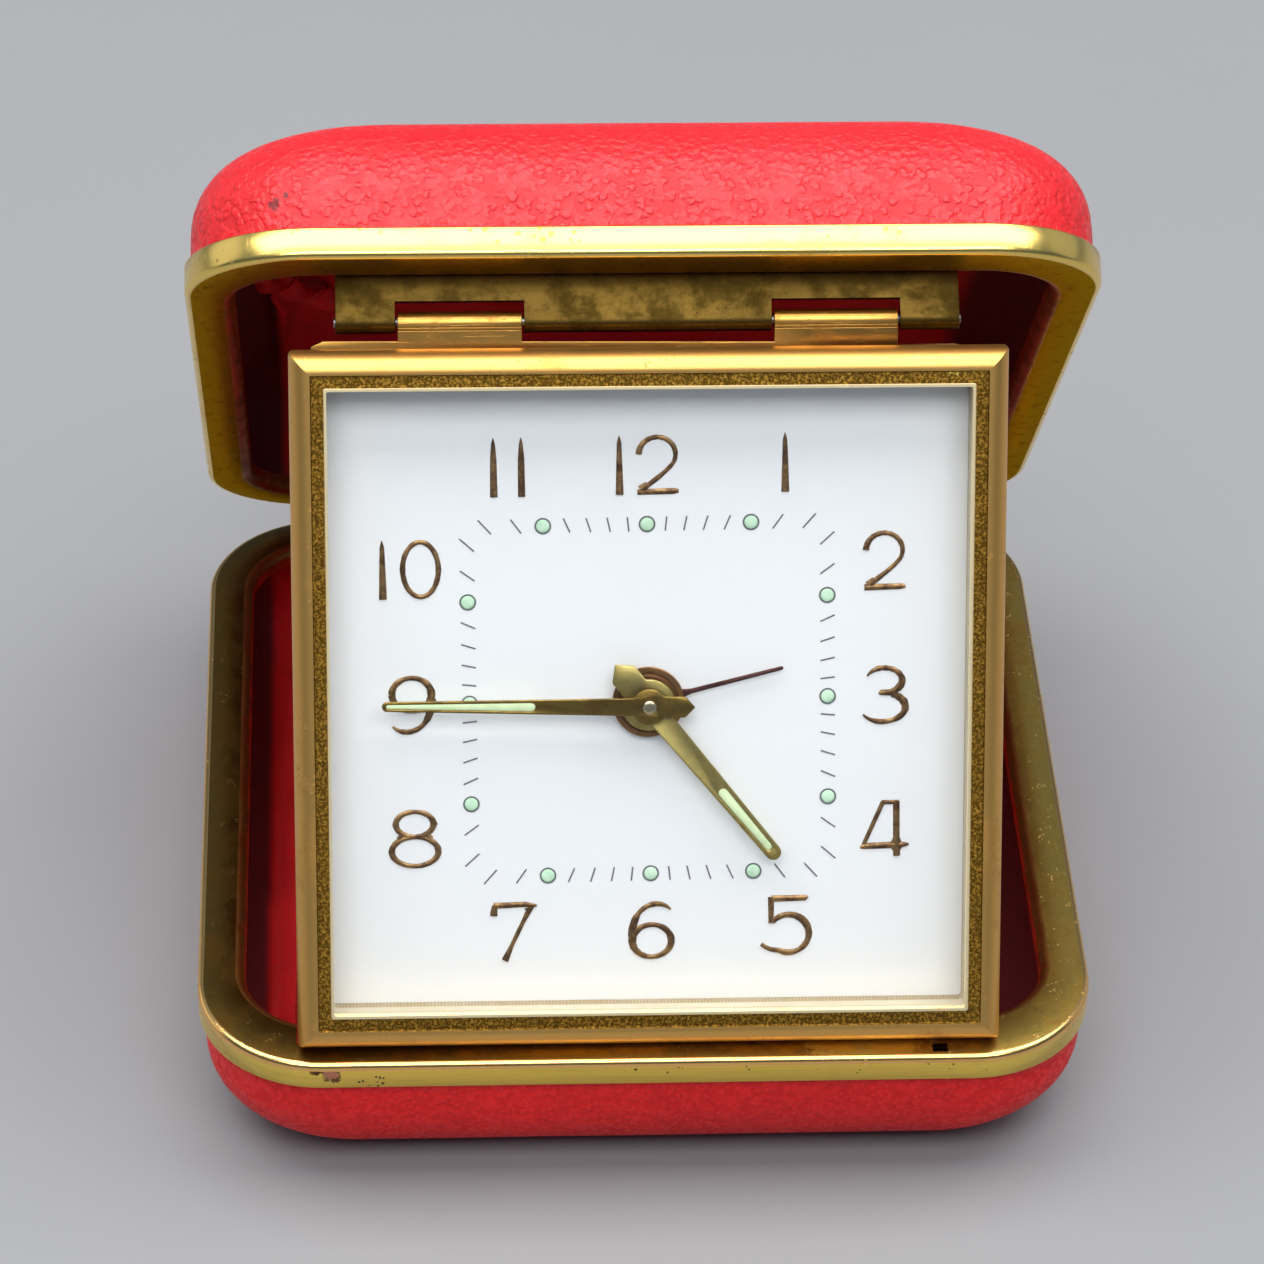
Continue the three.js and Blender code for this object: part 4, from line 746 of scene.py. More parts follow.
@dataclass(frozen=True)
class Backdrop(Finish):
    """The plain floor.

    Attributes:
        name: The material's name.
        colour: The floor's colour.
    """

    name: str
    colour: tuple

    def shade(self, canvas: Canvas, vector: Socket) -> Socket:
        """Draws a soft, slightly clouded surface.

        Args:
            canvas: The material's canvas.
            vector: Object coordinates.

        Returns:
            The surface shader.
        """
        mottle = MOTTLE.place(canvas, Vector=vector, Scale=9.0)
        low = tuple(channel * 0.94 for channel in self.colour[:3]) + (1.0,)
        return canvas.surface(
            {
                "Base Color": canvas.blend(canvas.span(mottle["Cloud"], 0.2, 0.8), self.colour, low),
                "Roughness": canvas.span(mottle["Cloud"], 0.2, 0.8, 0.55, 0.7),
            }
        )


DASH = tone(60, 40, 16)
PIT = tone(34, 20, 6)


class Finishes:
    """Every finish of the clock by name."""

    lid_leather = Leatherette(
        "red_leatherette",
        tone(226, 34, 40),
        tone(180, 12, 20),
        scuffs=(((-29.9, -3.7, 76.3), 0.55), ((-29.0, -3.2, 76.9), 0.3)),
    )
    # Painted light and shade: the base takes its own tone of the lid's leatherette, a deeper, purer red than the lid's
    # paler one, matched to how each half is lit; its finer grain is its own.
    base_leather = Leatherette(
        "red_leatherette_base", tone(240, 10, 14), tone(184, 4, 8), scale=1900.0, relief=0.08, roughness=0.46
    )
    cloth = Cloth("red_satin_cloth", tone(250, 6, 12), tone(150, 0, 6))
    # The lid's lining takes a darker painted shade that starts further in.
    lid_cloth = replace(cloth, name="lid_satin_cloth", hollow=tone(20, 0, 2), left_edge=-30.0)
    # Painted light: a paler, brighter copy of the lining cloth for the rolled edges, so that they read as lit; the
    # painted shade is set out of reach.
    rolled_cloth = Cloth(
        "rolled_satin_cloth_lit", tone(255, 26, 30), tone(210, 0, 8), threads=60000.0, left_edge=-60.0, right_edge=60.0
    )
    steel = Metal("plain_steel", tone(150, 150, 152), tone(96, 90, 84), 0.35, 0.3)
    lid_gilt = Metal("lid_gilt", tone(240, 206, 112), tone(196, 158, 74), 0.24, 0.22, 80.0, 0.35)
    lid_flat = Metal(
        "lid_flat_gilt",
        tone(178, 146, 66),
        tone(112, 86, 34),
        0.32,
        0.3,
        900.0,
        0.4,
        scratch=0.0,
        grain=0.01,
        glance=tone(200, 172, 116),
    )
    base_gilt = Metal(
        "base_gilt",
        tone(252, 218, 98),
        tone(210, 174, 70),
        0.3,
        0.2,
        110.0,
        0.8,
        grain=0.004,
        brushed=0.3,
        spots=(
            ((-27.6, -37.5, 13.3), 0.5, tone(96, 62, 30)),
            ((-26.9, -37.5, 13.5), 0.4, tone(110, 72, 34)),
            ((-26.3, -37.5, 12.9), 0.8, tone(120, 78, 44)),
            ((-26.3, -37.5, 12.95), 0.62, tone(204, 138, 106)),
            ((-24.0, -37.5, 12.1), 0.13, DASH),
            ((-23.7, -37.5, 12.2), 0.13, DASH),
            ((-22.6, -37.5, 12.65), 0.13, DASH),
            ((-22.3, -37.5, 12.6), 0.13, DASH),
            ((-22.0, -37.5, 12.5), 0.12, DASH),
        ),
    )
    base_flat = Metal(
        "base_flat_gilt",
        tone(192, 158, 76),
        tone(140, 108, 48),
        0.28,
        0.5,
        260.0,
        0.8,
        scratch=0.0,
        grain=0.018,
        speck=tone(240, 206, 132),
        spots=(
            # Painted reflection: a pale gold patch where the flat mirrors the bezel's underside; the small dark spots
            # after it are pits.
            ((18.4, -36.3, 14.0), 4.6, tone(206, 178, 92)),
            *(((x, y, 14.0), 0.3, PIT) for y in (-36.6, -36.15) for x in (23.7, 24.1, 24.5)),
        ),
        # Painted reflection: the flat darkens towards the left, where it mirrors the dark inside of the case.
        lean=(6.0, -34.0, 0.75),
    )
    rim_edge = Metal("rubbed_rim_edge", tone(240, 188, 112), tone(206, 146, 74), 0.2, 0.2, 120.0, 0.2)
    rim_lip = Metal("rim_lip_gilt", tone(176, 122, 64), tone(120, 72, 34), 0.34, 0.5, 300.0, 0.4)
    satin_bead = Metal(
        "satin_gilt_bead", tone(222, 172, 94), tone(190, 140, 70), 0.4, 0.25, 160.0, 0.25, scratch=0.003, grain=0.008
    )
    pitted_slope = Metal(
        "pitted_brass_slope",
        tone(194, 148, 58),
        tone(58, 38, 10),
        0.46,
        0.66,
        4600.0,
        0.4,
        scratch=0.0,
        grain=0.03,
        spots=(
            ((24.0, -12.5, 65.4), 0.45, tone(196, 182, 76)),
            ((24.7, -12.5, 65.4), 0.45, tone(214, 200, 88)),
            ((25.3, -12.5, 65.4), 0.4, tone(196, 182, 76)),
        ),
    )
    # Painted highlight: the bezel's lip is gilt like the rest of the bezel, given a paler tone and rougher gloss so
    # that it reads as a bright line.
    bezel_lip = Metal("bezel_lip_highlight_gilt", tone(252, 232, 182), tone(220, 186, 120), 0.5, 0.2, 300.0, 0.3)
    olive_brass = Metal("olive_brass", tone(90, 70, 29), tone(66, 50, 18), 0.36, 0.5, 420.0, 0.5, grain=0.02)
    knuckle_gilt = Metal("knuckle_gilt", tone(196, 146, 72), tone(144, 100, 44), 0.28, 0.35, 300.0, 0.4)
    hour_brass = Metal(
        "hour_hand_brass",
        tone(170, 154, 92),
        tone(132, 116, 62),
        0.34,
        0.45,
        420.0,
        0.3,
        scratch=0.003,
        grain=0.004,
        score=0.3,
    )
    minute_brass = replace(
        hour_brass,
        name="minute_hand_brass",
        bright=tone(132, 108, 52),
        dull=tone(88, 68, 28),
        roughness=0.3,
        cover=0.5,
    )
    figure_gilt = Metal("figure_gilt", tone(150, 118, 78), tone(66, 46, 32), 0.3, 0.58, 900.0, 0.5, grain=0.03)
    machined_brass = Metal(
        "machined_brass", tone(200, 162, 84), tone(136, 100, 44), 0.3, 0.3, 90.0, 0.3, scratch=0.006
    )
    nickel = Metal("nickel_plate", tone(190, 190, 190), tone(130, 126, 118), 0.24, 0.25, 200.0, 0.2)
    polished = Metal("polished_pin", tone(196, 182, 146), tone(140, 124, 92), 0.26, 0.2, 300.0, 0.2)
    bronzed = Metal("dark_bronze", tone(140, 104, 64), tone(70, 44, 28), 0.36, 0.4, 300.0, 0.3)
    browned = Metal("browned_steel", tone(84, 56, 50), tone(50, 32, 28), 0.46, 0.4, 300.0, 0.3)
    dial_white = Lacquer("dial_white", tone(253, 253, 254), tone(244, 245, 247), 0.42, 0.2)
    ivory = Lacquer("plain_ivory", tone(178, 168, 140), tone(158, 146, 116), 0.4, 0.4)
    ink = Lacquer("grey_ink", tone(104, 102, 108), tone(80, 80, 86), 0.6, 0.4, 900.0)
    dot_edge = Lacquer("dot_edge_ink", tone(96, 104, 98), tone(74, 80, 76), 0.5, 0.4, 900.0)
    dot_lume = Lacquer("dot_lume", tone(198, 230, 198), tone(164, 206, 170), 0.7, 0.8, 1200.0, 0.02)
    hand_lume = Lacquer("hand_lume", tone(208, 226, 178), tone(184, 206, 150), 0.7, 0.7, 900.0, 0.02)
    crystal = Glazing("clear_crystal")
    floor = Backdrop("pale_floor", tone(138, 138, 138))


# Mesh helpers


def outward(mesh: bpy.types.Mesh) -> None:
    """Turns every face of a mesh the same way round.

    Args:
        mesh: The mesh.
    """
    tidy = bmesh.new()
    tidy.from_mesh(mesh)
    bmesh.ops.recalc_face_normals(tidy, faces=tidy.faces)
    tidy.to_mesh(mesh)
    tidy.free()


def smoothed(mesh: bpy.types.Mesh, angle: float) -> None:
    """Shades a mesh smooth, but crisp at edges over an angle in degrees."""
    mesh.polygons.foreach_set("use_smooth", [True] * len(mesh.polygons))
    mesh.set_sharp_from_angle(angle=math.radians(angle))


def meshed(name: str, place: Matrix, shape: Shape) -> bpy.types.Mesh:
    """Makes a mesh in the row frame.

    Args:
        name: What it is called.
        place: Where the shape stands.
        shape: Its points in millimetres and its faces.

    Returns:
        The mesh, in metres.
    """
    mesh = bpy.data.meshes.new(name)
    mesh.from_pydata([tuple(place @ (Vector(point) * MM)) for point in shape[0]], [], shape[1])
    return mesh


def added(name: str, data: bpy.types.ID) -> bpy.types.Object:
    """Adds an object to the scene.

    Args:
        name: What it is called.
        data: Its mesh, light or camera.

    Returns:
        The new object.
    """
    obj = bpy.data.objects.new(name, data)
    bpy.context.scene.collection.objects.link(obj)
    return obj


class Piece:
    """One visible piece: its mesh, finish, body and the node that it stands for."""

    def __init__(self, name: str, body: str, slot: str, finish: Finish, node: Optional[str] = None) -> None:
        """Keeps what the piece is called and what it rides on.

        Args:
            name: The piece's name.
            body: The body that it moves with.
            slot: Its material slot, kept but not used.
            finish: Its main finish.
            node: The node that it stands for, if any.
        """
        self.name = name
        self.body = body
        self.slot = slot
        self.finish = finish
        self.node = node
        self.extra: list[Finish] = []

    def build(self, place: Matrix, shape: Shape, sharp: float = 35.0, kinds: Sequence[int] = ()) -> bpy.types.Object:
        """Makes the object and puts it on its body.

        Args:
            place: Where the shape stands.
            shape: Its points in millimetres and its faces.
            sharp: Angle in degrees above which an edge stays crisp.
            kinds: Finish number of each face, 0 for the main one.

        Returns:
            The new object.
        """
        mesh = meshed(self.name, place, shape)
        mesh.validate()
        for kind, face in zip(kinds, mesh.polygons):
            face.material_index = kind
        return self.adopt(mesh, sharp)

    def adopt(self, mesh: bpy.types.Mesh, sharp: float) -> bpy.types.Object:
        """Turns a finished mesh into the piece.

        Args:
            mesh: The mesh in the row frame.
            sharp: Angle in degrees above which an edge stays crisp.

        Returns:
            The new object.
        """
        outward(mesh)
        smoothed(mesh, sharp)
        for finish in [self.finish, *self.extra]:
            mesh.materials.append(finish.material())
        obj = added(self.name, mesh)
        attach(obj, self.body)
        if self.node:
            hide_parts(self.node)
        LOG.info("piece %s rides on %s", self.name, self.body)
        return obj


def applied(obj: bpy.types.Object) -> None:
    """Applies the modifiers of an object to its mesh.

    Args:
        obj: The object.
    """
    view = bpy.context.evaluated_depsgraph_get()
    mesh = bpy.data.meshes.new_from_object(obj.evaluated_get(view))
    obj.modifiers.clear()
    old = obj.data
    obj.data = mesh
    bpy.data.meshes.remove(old)


def rounded(obj: bpy.types.Object, width: float, angle: float) -> None:
    """Rounds the crisp edges of an object.

    Args:
        obj: The object.
        width: Width of the rounding in millimetres.
        angle: Edges sharper than this angle in degrees are rounded.
    """
    step = obj.modifiers.new("rounding", "BEVEL")
    step.width = width * MM
    step.segments = 2
    step.limit_method = "ANGLE"
    step.angle_limit = math.radians(angle)
    step.harden_normals = False
    applied(obj)
    smoothed(obj.data, 50)


def carved(obj: bpy.types.Object, place: Matrix, shape: Shape) -> None:
    """Cuts a closed shape out of an object.

    Args:
        obj: The object.
        place: Where the shape stands.
        shape: Its points in millimetres and its faces.
    """
    mesh = meshed("tool", place, shape)
    outward(mesh)
    tool = added("tool", mesh)
    cut = obj.modifiers.new("cut", "BOOLEAN")
    cut.operation = "DIFFERENCE"
    cut.solver = "EXACT"
    cut.object = tool
    bpy.context.view_layer.update()
    applied(obj)
    bpy.data.objects.remove(tool)


def outline_ring(
    half_width: float, half_depth: float, radius: float, corner_steps: int, side_steps: int, centre_y: float = 0.0
) -> list[Flat]:
    """Returns points round a rounded rectangle, the same number whatever its size.

    Args:
        half_width: Half the size across.
        half_depth: Half the size along.
        radius: Corner radius.
        corner_steps: Steps round each corner.
        side_steps: Steps along each straight side.
        centre_y: Where the middle is along y.

    Returns:
        The points, counter-clockwise from the right side.
    """
    radius = max(min(radius, half_width, half_depth), 0.02)
    corners: list[Flat] = []
    for sx, sy, start in ((1, 1, 0), (-1, 1, 90), (-1, -1, 180), (1, -1, 270)):
        for step in range(corner_steps + 1):
            angle = math.radians(start + 90 * step / corner_steps)
            x = sx * (half_width - radius) + radius * math.cos(angle)
            y = sy * (half_depth - radius) + radius * math.sin(angle)
            corners.append((x, y + centre_y))
    points: list[Flat] = []
    count = len(corners)
    for index, (x, y) in enumerate(corners):
        points.append((x, y))
        if index % (corner_steps + 1) == corner_steps:
            nx, ny = corners[(index + 1) % count]
            for step in range(1, side_steps):
                share = step / side_steps
                points.append((x + (nx - x) * share, y + (ny - y) * share))
    return points


def lofted(rings: Sequence[Sequence[Point]], closed: bool) -> Shape:
    """Joins rings of points into a skin.

    Args:
        rings: Rings with the same number of points.
        closed: True joins the last ring to the first, False caps both ends.

    Returns:
        The points and faces.
    """
    count = len(rings[0])
    verts = [point for ring in rings for point in ring]
    faces: list[list[int]] = []
    bands = len(rings) if closed else len(rings) - 1
    for band in range(bands):
        low = band * count
        high = ((band + 1) % len(rings)) * count
        for step in range(count):
            after = (step + 1) % count
            faces.append([low + step, low + after, high + after, high + step])
    if not closed:
        faces.append(list(range(count))[::-1])
        faces.append([(len(rings) - 1) * count + step for step in range(count)])
    return verts, faces


def by_band(kinds: Sequence[int], rings: Sequence[Sequence[Point]]) -> list[int]:
    """Returns the finish number of each face of a closed skin from that of its band."""
    return [kind for kind, ring in zip(kinds, rings) for _ in ring]


def prism(outline: Sequence[Flat], low: float, high: float) -> Shape:
    """Returns a flat plate with that outline between two heights."""
    return lofted([[(x, y, z) for x, y in outline] for z in (low, high)], False)


def turned(profile: Sequence[Flat], steps: int, centre: Flat = (0.0, 0.0)) -> Shape:
    """Builds a body turned about an upright axis.

    Args:
        profile: Radius and height pairs that start and end near the axis.
        steps: Steps round the axis.
        centre: Where the axis stands.

    Returns:
        The points and faces.
    """
    rings = []
    for radius, height in profile:
        ring = []
        for step in range(steps):
            angle = math.tau * step / steps
            ring.append((centre[0] + radius * math.cos(angle), centre[1] + radius * math.sin(angle), height))
        rings.append(ring)
    return lofted(rings, False)


# Where the sub-assemblies stand


@dataclass
class Stance:
    """Places of the case halves and of the clock's face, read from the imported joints.

    Attributes:
        base: Place of the base's rim plane.
        lid: Place of the lid's rim plane.
        clock: Place of the clock's hinge pin, turned with the clock.
        face: Place of the bezel's crown, with z out of the dial.
        rim_height: Height of the base's rim over the floor.
        closing_gap: Gap between the rims of the closed case.
        pin_along: Distance from the case hinge to the clock's pin, along the lid.
        pin_drop: The same distance, square to the lid.
        pin_behind_front: How far the pin lies behind the bezel's crown.
        pin_above_clock: How far the pin lies above the bezel.
        clock_half: Half the bezel's size.
    """

    base: Matrix = field(default_factory=Matrix)
    lid: Matrix = field(default_factory=Matrix)
    clock: Matrix = field(default_factory=Matrix)
    face: Matrix = field(default_factory=Matrix)
    rim_height: float = 14.0
    closing_gap: float = 0.3
    pin_along: float = 69.84
    pin_drop: float = 3.35
    pin_behind_front: float = 4.7
    pin_above_clock: float = 1.8
    clock_half: float = 29.0

    def settle(self) -> None:
        """Works the places out from the joints' positions and axes."""
        joints = {joint["name"]: joint for joint in frame["joints"]}
        axis = Vector(joints["lid_hinge"]["pos_m"])
        pin = Vector(joints["clock_hinge"]["pos_m"])
        back = Vector(joints["minute_turn"]["axis"])
        reach = pin - axis
        opening = math.atan2(reach.z, -reach.y) + math.atan2(self.pin_drop, self.pin_along)
        lean = math.atan2(-back.z, back.y)
        self.base = Matrix.Translation((0, 0, self.rim_height * MM))
        self.lid = (
            Matrix.Translation(axis)
            @ Matrix.Rotation(-opening, 4, "X")
            @ Matrix.Translation((0, -axis.y, self.closing_gap / 2 * MM))
            @ Matrix.Rotation(math.pi, 4, "Y")
        )
        self.clock = Matrix.Translation(pin) @ Matrix.Rotation(-lean, 4, "X")
        middle = (0, -self.pin_behind_front * MM, -(self.pin_above_clock + self.clock_half) * MM)
        self.face = self.clock @ Matrix.Translation(middle) @ Matrix.Rotation(math.pi / 2, 4, "X")


class Part(Enum):
    """The two halves of the case."""

    BASE = "base"
    LID = "lid"


@dataclass
class CaseHalf:
    """One half of the case, drawn with its rim plane at z = 0 and its shell below.

    Attributes:
        part: Which half it is.
        place: Where its rim plane stands.
        half_width: Half the size across the band.
        half_depth: Half the size from front to back.
        height: From the rim plane to the floor of the cover.
        corner: Corner radius of the band.
        edge: Radius of the cover's lower edge.
        dome: How much rounder the corners get towards the floor.
        band: Height of the band.
        band_wall: Radius of the band's upper bend.
        sheet: Thickness of the sheet metal.
        side_flat: Width of the rim's flat at the sides and the back.
        front_flat: Its width at the front.
        lip: Depth of the lip round the mouth.
        mouth_radius: Corner radius of the mouth.
        tuck: How far below the rim plane the cover and the shell end.
        cover_inset: How far the cover stands inside the band.
        cover_wall: Thickness of the cover.
        shell_inset: How far the shell stands inside the band.
        cloth_inset: How far the lining stands inside it.
        cloth_top: How far below the rim plane the lining ends.
        cloth_thick: Thickness of the lining.
        cloth_spare: Side of the flat cloth over the side of a square of the lining's area; not used.
        gather_start: Share of the way up where the cloth begins to gather.
        ridge_line: Where the loose ridge of cloth runs, from the middle.
        ridge_height: Height of that ridge.
        ridge_width: How far it spreads.
        ridge_reach: How far it runs each way before it fades.
        roll: Radius of the bend into the mouth.
        crown: How far the flat rises at its middle.
        seat_width: Half the width of the base's seat for the bezel.
        seat_front: How far behind the front that seat begins.
    """

    part: Part
    place: Matrix
    half_width: float = 37.5
    half_depth: float = 37.5
    height: float = 14.0
    corner: float = 10.5
    edge: float = 9.0
    dome: float = 9.0
    band: float = 2.6
    band_wall: float = 0.5
    sheet: float = 0.45
    side_flat: float = 4.0
    front_flat: float = 5.2
    lip: float = 1.6
    mouth_radius: float = 6.8
    tuck: float = 0.6
    cover_inset: float = 0.56
    cover_wall: float = 0.8
    shell_inset: float = 1.42
    cloth_inset: float = 2.05
    cloth_top: float = 1.75
    cloth_thick: float = 0.3
    cloth_spare: float = 1.02
    gather_start: float = 0.35
    ridge_line: float = 30.3
    ridge_height: float = 1.7
    ridge_width: float = 0.75
    ridge_reach: float = 27.0
    roll: float = 0.85
    crown: float = 0.09
    seat_width: float = 29.14
    seat_front: float = 2.6

    @property
    def is_lid(self) -> bool:
        """Tells the lid from the base."""
        return self.part is Part.LID

    def pan_rings(
        self, inset: float, wall: float, top: float, arc_steps: int, corner_steps: int, side_steps: int
    ) -> list[list[Point]]:
        """Draws rings up one face of a rounded pan.

        Args:
            inset: How far the pan's outer face stands inside the band.
            wall: How far inside that face the rings lie.
            top: How far below the rim plane the pan ends.
            arc_steps: Steps round the lower edge.
            corner_steps: Steps round each corner.
            side_steps: Steps along each side.

        Returns:
            The rings from the floor's edge to the top.
        """
        layer = inset - self.cover_inset
        arc = self.edge - layer - wall
        floor = -self.height + layer + wall
        rings = []
        shrinks = []
        for step in range(arc_steps + 1):
            angle = math.radians(90 * step / arc_steps)
            fall = 1 - math.sin(angle)
            shrinks.append((arc * fall + wall, floor + arc - arc * math.cos(angle), self.dome * fall))
        for share in (0.25, 0.5, 0.75, 1.0):
            low = shrinks[arc_steps][1]
            shrinks.append((wall, low + (-top - low) * share, 0.0))
        for shrink, z, rounder in shrinks:
            ring = outline_ring(
                self.half_width - inset - shrink,
                self.half_depth - inset - shrink,
                self.corner - inset - shrink + rounder,
                corner_steps,
                side_steps,
            )
            rings.append([(x, y, z) for x, y in ring])
        return rings

    def build_cover(self) -> None:
        """Builds the leatherette cover with its edge tucked into the band."""
        name = self.part.value
        outer = self.pan_rings(self.cover_inset, 0.0, self.tuck, 14, 14, 6)
        inner = self.pan_rings(self.cover_inset, self.cover_wall, self.tuck, 8, 14, 6)
        verts, faces = lofted(outer + inner[::-1], False)
        points = []
        for x, y, z in verts:
            swell = noise.noise(Vector((x, y, z)) * 0.11) * 0.07
            points.append((x * (1 + swell / 40), y * (1 + swell / 40), max(z, -self.height)))
        finish = Finishes.lid_leather if self.is_lid else Finishes.base_leather
        Piece(f"{name}_leatherette", name, "leather", finish, f"{name}_cover").build(self.place, (points, faces), 50)

    def build_shell(self) -> None:
        """Builds the pressed steel shell inside the cover."""
        name = self.part.value
        outer = self.pan_rings(self.shell_inset, 0.0, self.tuck, 10, 10, 4)
        inner = self.pan_rings(self.shell_inset, self.sheet, self.tuck, 8, 10, 4)
        piece = Piece(f"{name}_steel_shell", name, "steel", Finishes.steel, f"{name}_shell")
        piece.build(self.place, lofted(outer + inner[::-1], False), 50)

    def rim_profile(self) -> list[list[Point]]:
        """Draws the folded rim: up the band, over the flat, down the lip and back inside.

        Returns:
            The rings.
        """

        def outer(inset: float, z: float) -> list[Point]:
            """Returns a ring inside the band's face."""
            ring = outline_ring(self.half_width - inset, self.half_depth - inset, self.corner - inset, 18, 4)
            return [(x, y, z) for x, y in ring]

        def mouth(grow: float, z: float) -> list[Point]:
            """Draws a ring outside the mouth.

            Args:
                grow: How far outside the mouth.
                z: Its height.

            Returns:
                The ring.
            """
            middle = (self.front_flat - self.side_flat) / 2
            half_depth = self.half_depth - (self.front_flat + self.side_flat) / 2
            ring = outline_ring(
                self.half_width - self.side_flat + grow, half_depth + grow, self.mouth_radius + grow, 18, 4, middle
            )
            return [(x, y, z) for x, y in ring]

        bend = self.band_wall
        step = 0.0 if self.is_lid else 0.05
        rings = [outer(step + 0.13, -self.band), outer(step, -self.band + 0.14), outer(step, -0.74), outer(0.0, -0.64)]
        for step in range(6):
            angle = math.radians(90 * step / 5)
            rings.append(outer(bend - bend * math.cos(angle), -bend + bend * math.sin(angle)))
        first = rings[-1]
        last = mouth(self.roll, 0.0)
        for share in (0.2, 0.4, 0.6, 0.8):
            crown = self.crown * 4 * share * (1 - share)
            pairs = zip(first, last)
            rings.append([(p[0] + (q[0] - p[0]) * share, p[1] + (q[1] - p[1]) * share, crown) for p, q in pairs])
        for step in range(7):
            angle = math.radians(90 * step / 6)
            rings.append(mouth(self.roll - self.roll * math.sin(angle), -self.roll + self.roll * math.cos(angle)))
        rings += [
            mouth(0.0, -self.lip),
            mouth(self.sheet, -self.lip),
            mouth(self.sheet, -self.roll),
            mouth(self.roll, -self.sheet),
            outer(self.band_wall, -self.sheet),
            outer(self.band_wall, -self.band),
        ]
        return rings

    def build_rim(self) -> None:
        """Builds the gilt rim; the base's has the seat behind the bezel cut out of it."""
        name = self.part.value
        finish = Finishes.lid_gilt if self.is_lid else Finishes.base_gilt
        flat = Finishes.lid_flat if self.is_lid else Finishes.base_flat
        rings = self.rim_profile()
        fold = 0 if self.is_lid else 3
        kinds = [0] * 3 + [fold] * 6 + [1] * 5 + [2] * 7 + [0] * len(rings)
        piece = Piece(f"{name}_gilt_rim", name, "gilt", finish, f"{name}_rim")
        piece.extra = [flat, Finishes.rim_lip, Finishes.rim_edge]
        obj = piece.build(self.place, lofted(rings, True), 50, by_band(kinds, rings))
        if not self.is_lid:
            back = -self.half_depth + self.front_flat + self.sheet
            front = -self.half_depth + self.seat_front
            side = self.seat_width
            seat = [(-side, front), (side, front), (side, back), (-side, back)]
            carved(obj, self.place, prism(seat, -self.lip - 1, 1))
            smoothed(obj.data, 50)

    def build_lining(self) -> None:
        """Builds the cloth lining as one sheet, drawn in at the corners."""
        name = self.part.value
        wall = self.pan_rings(self.cloth_inset, 0.0, self.cloth_top, 16, 14, 18)
        rings = []
        floor = wall[0]
        for share in (0.04, 0.2, 0.4, 0.6, 0.8, 0.92):
            rings.append([(x * share, y * share, z) for x, y, z in floor])
        rings += wall
        inward = len(rings)
        rings = [[self.gathered(*point, index / inward) for point in ring] for index, ring in enumerate(rings)]
        verts, faces = lofted(rings, False)
        # The floor's middle comes first and tells the cloth's sides apart, and the top stays open
        faces = faces[-2:-1] + faces[:-2]
        finish = Finishes.lid_cloth if self.is_lid else Finishes.cloth
        piece = Piece(f"{name}_satin_lining", name, "cloth", finish, f"{name}_lining")
        obj = piece.build(self.place, (verts, faces), 80)
        skin = obj.modifiers.new("thickness", "SOLIDIFY")
        skin.thickness = self.cloth_thick * MM
        skin.offset = 1.0 if self.inside_is_positive(obj) else -1.0
        applied(obj)
        rolls = self.build_rolls() if self.is_lid else []

    def build_rolls(self) -> list[bpy.types.Object]:
        """Builds the two rolled edges of the lid's loose cloth.

        Returns:
            The two pieces.
        """
        tuck = [(32.3, -0.6, -10.2), (30.4, 1.9, -10.3), (28.1, 5.3, -10.7), (25.2, 9.6, -11.3)]
        fold = [(30.9, 4.2, -10.6), (30.3, 9.0, -10.8), (29.9, 18.0, -10.9), (30.1, 27.5, -11.1)]
        return [
            self.build_roll("lid_lining_tuck", tuck, (1.0, 0.5), 1.4),
            self.build_roll("lid_lining_fold", fold, (0.5, 0.42), 0.8),
        ]

    def build_roll(self, name: str, path: list[Point], half: Flat, turns: float) -> bpy.types.Object:
        """Builds one twisted roll of cloth along a path.

        Args:
            name: What the piece is called.
            path: Four points that steer the roll, in the half's millimetres.
            half: Its half width and half thickness.
            turns: How many times it twists.

        Returns:
            The piece.
        """
        steps, sides, folds, fold_depth = 60, 14, 5, 0.14
        knots = [Vector(point) for point in path]
        ahead = (knots[3] - knots[0]).normalized()
        across = ahead.cross(Vector((0, 0, 1))).normalized()
        above = across.cross(ahead)
        rings: list[list[Vector]] = []
        for step in range(steps + 1):
            share = step / steps
            left = 1 - share
            turn = math.tau * turns * share
            spot = left**3 * knots[0] + 3 * left**2 * share * knots[1]
            spot += 3 * left * share**2 * knots[2] + share**3 * knots[3]
            size = min(1.0, 0.2 + 7 * min(share, left)) * (1 + 0.16 * noise.noise(spot * 0.9))
            ring = []
            for side in range(sides):
                angle = math.tau * side / sides
                swell = 1 + fold_depth * math.cos(folds * angle)
                wide, thick = half[0] * math.cos(angle) * swell, half[1] * math.sin(angle) * swell
                out = wide * math.cos(turn) - thick * math.sin(turn)
                rise = wide * math.sin(turn) + thick * math.cos(turn)
                ring.append(spot + size * (across * out + above * rise))
            rings.append(ring)
        return Piece(name, "lid", "cloth", Finishes.rolled_cloth).build(self.place, lofted(rings, False), 80)

    def inside_is_positive(self, obj: bpy.types.Object) -> bool:
        """Tells whether the sheet's faces look into the tray."""
        up = self.place.to_3x3() @ Vector((0, 0, 1))
        return obj.data.polygons[0].normal.dot(up) > 0

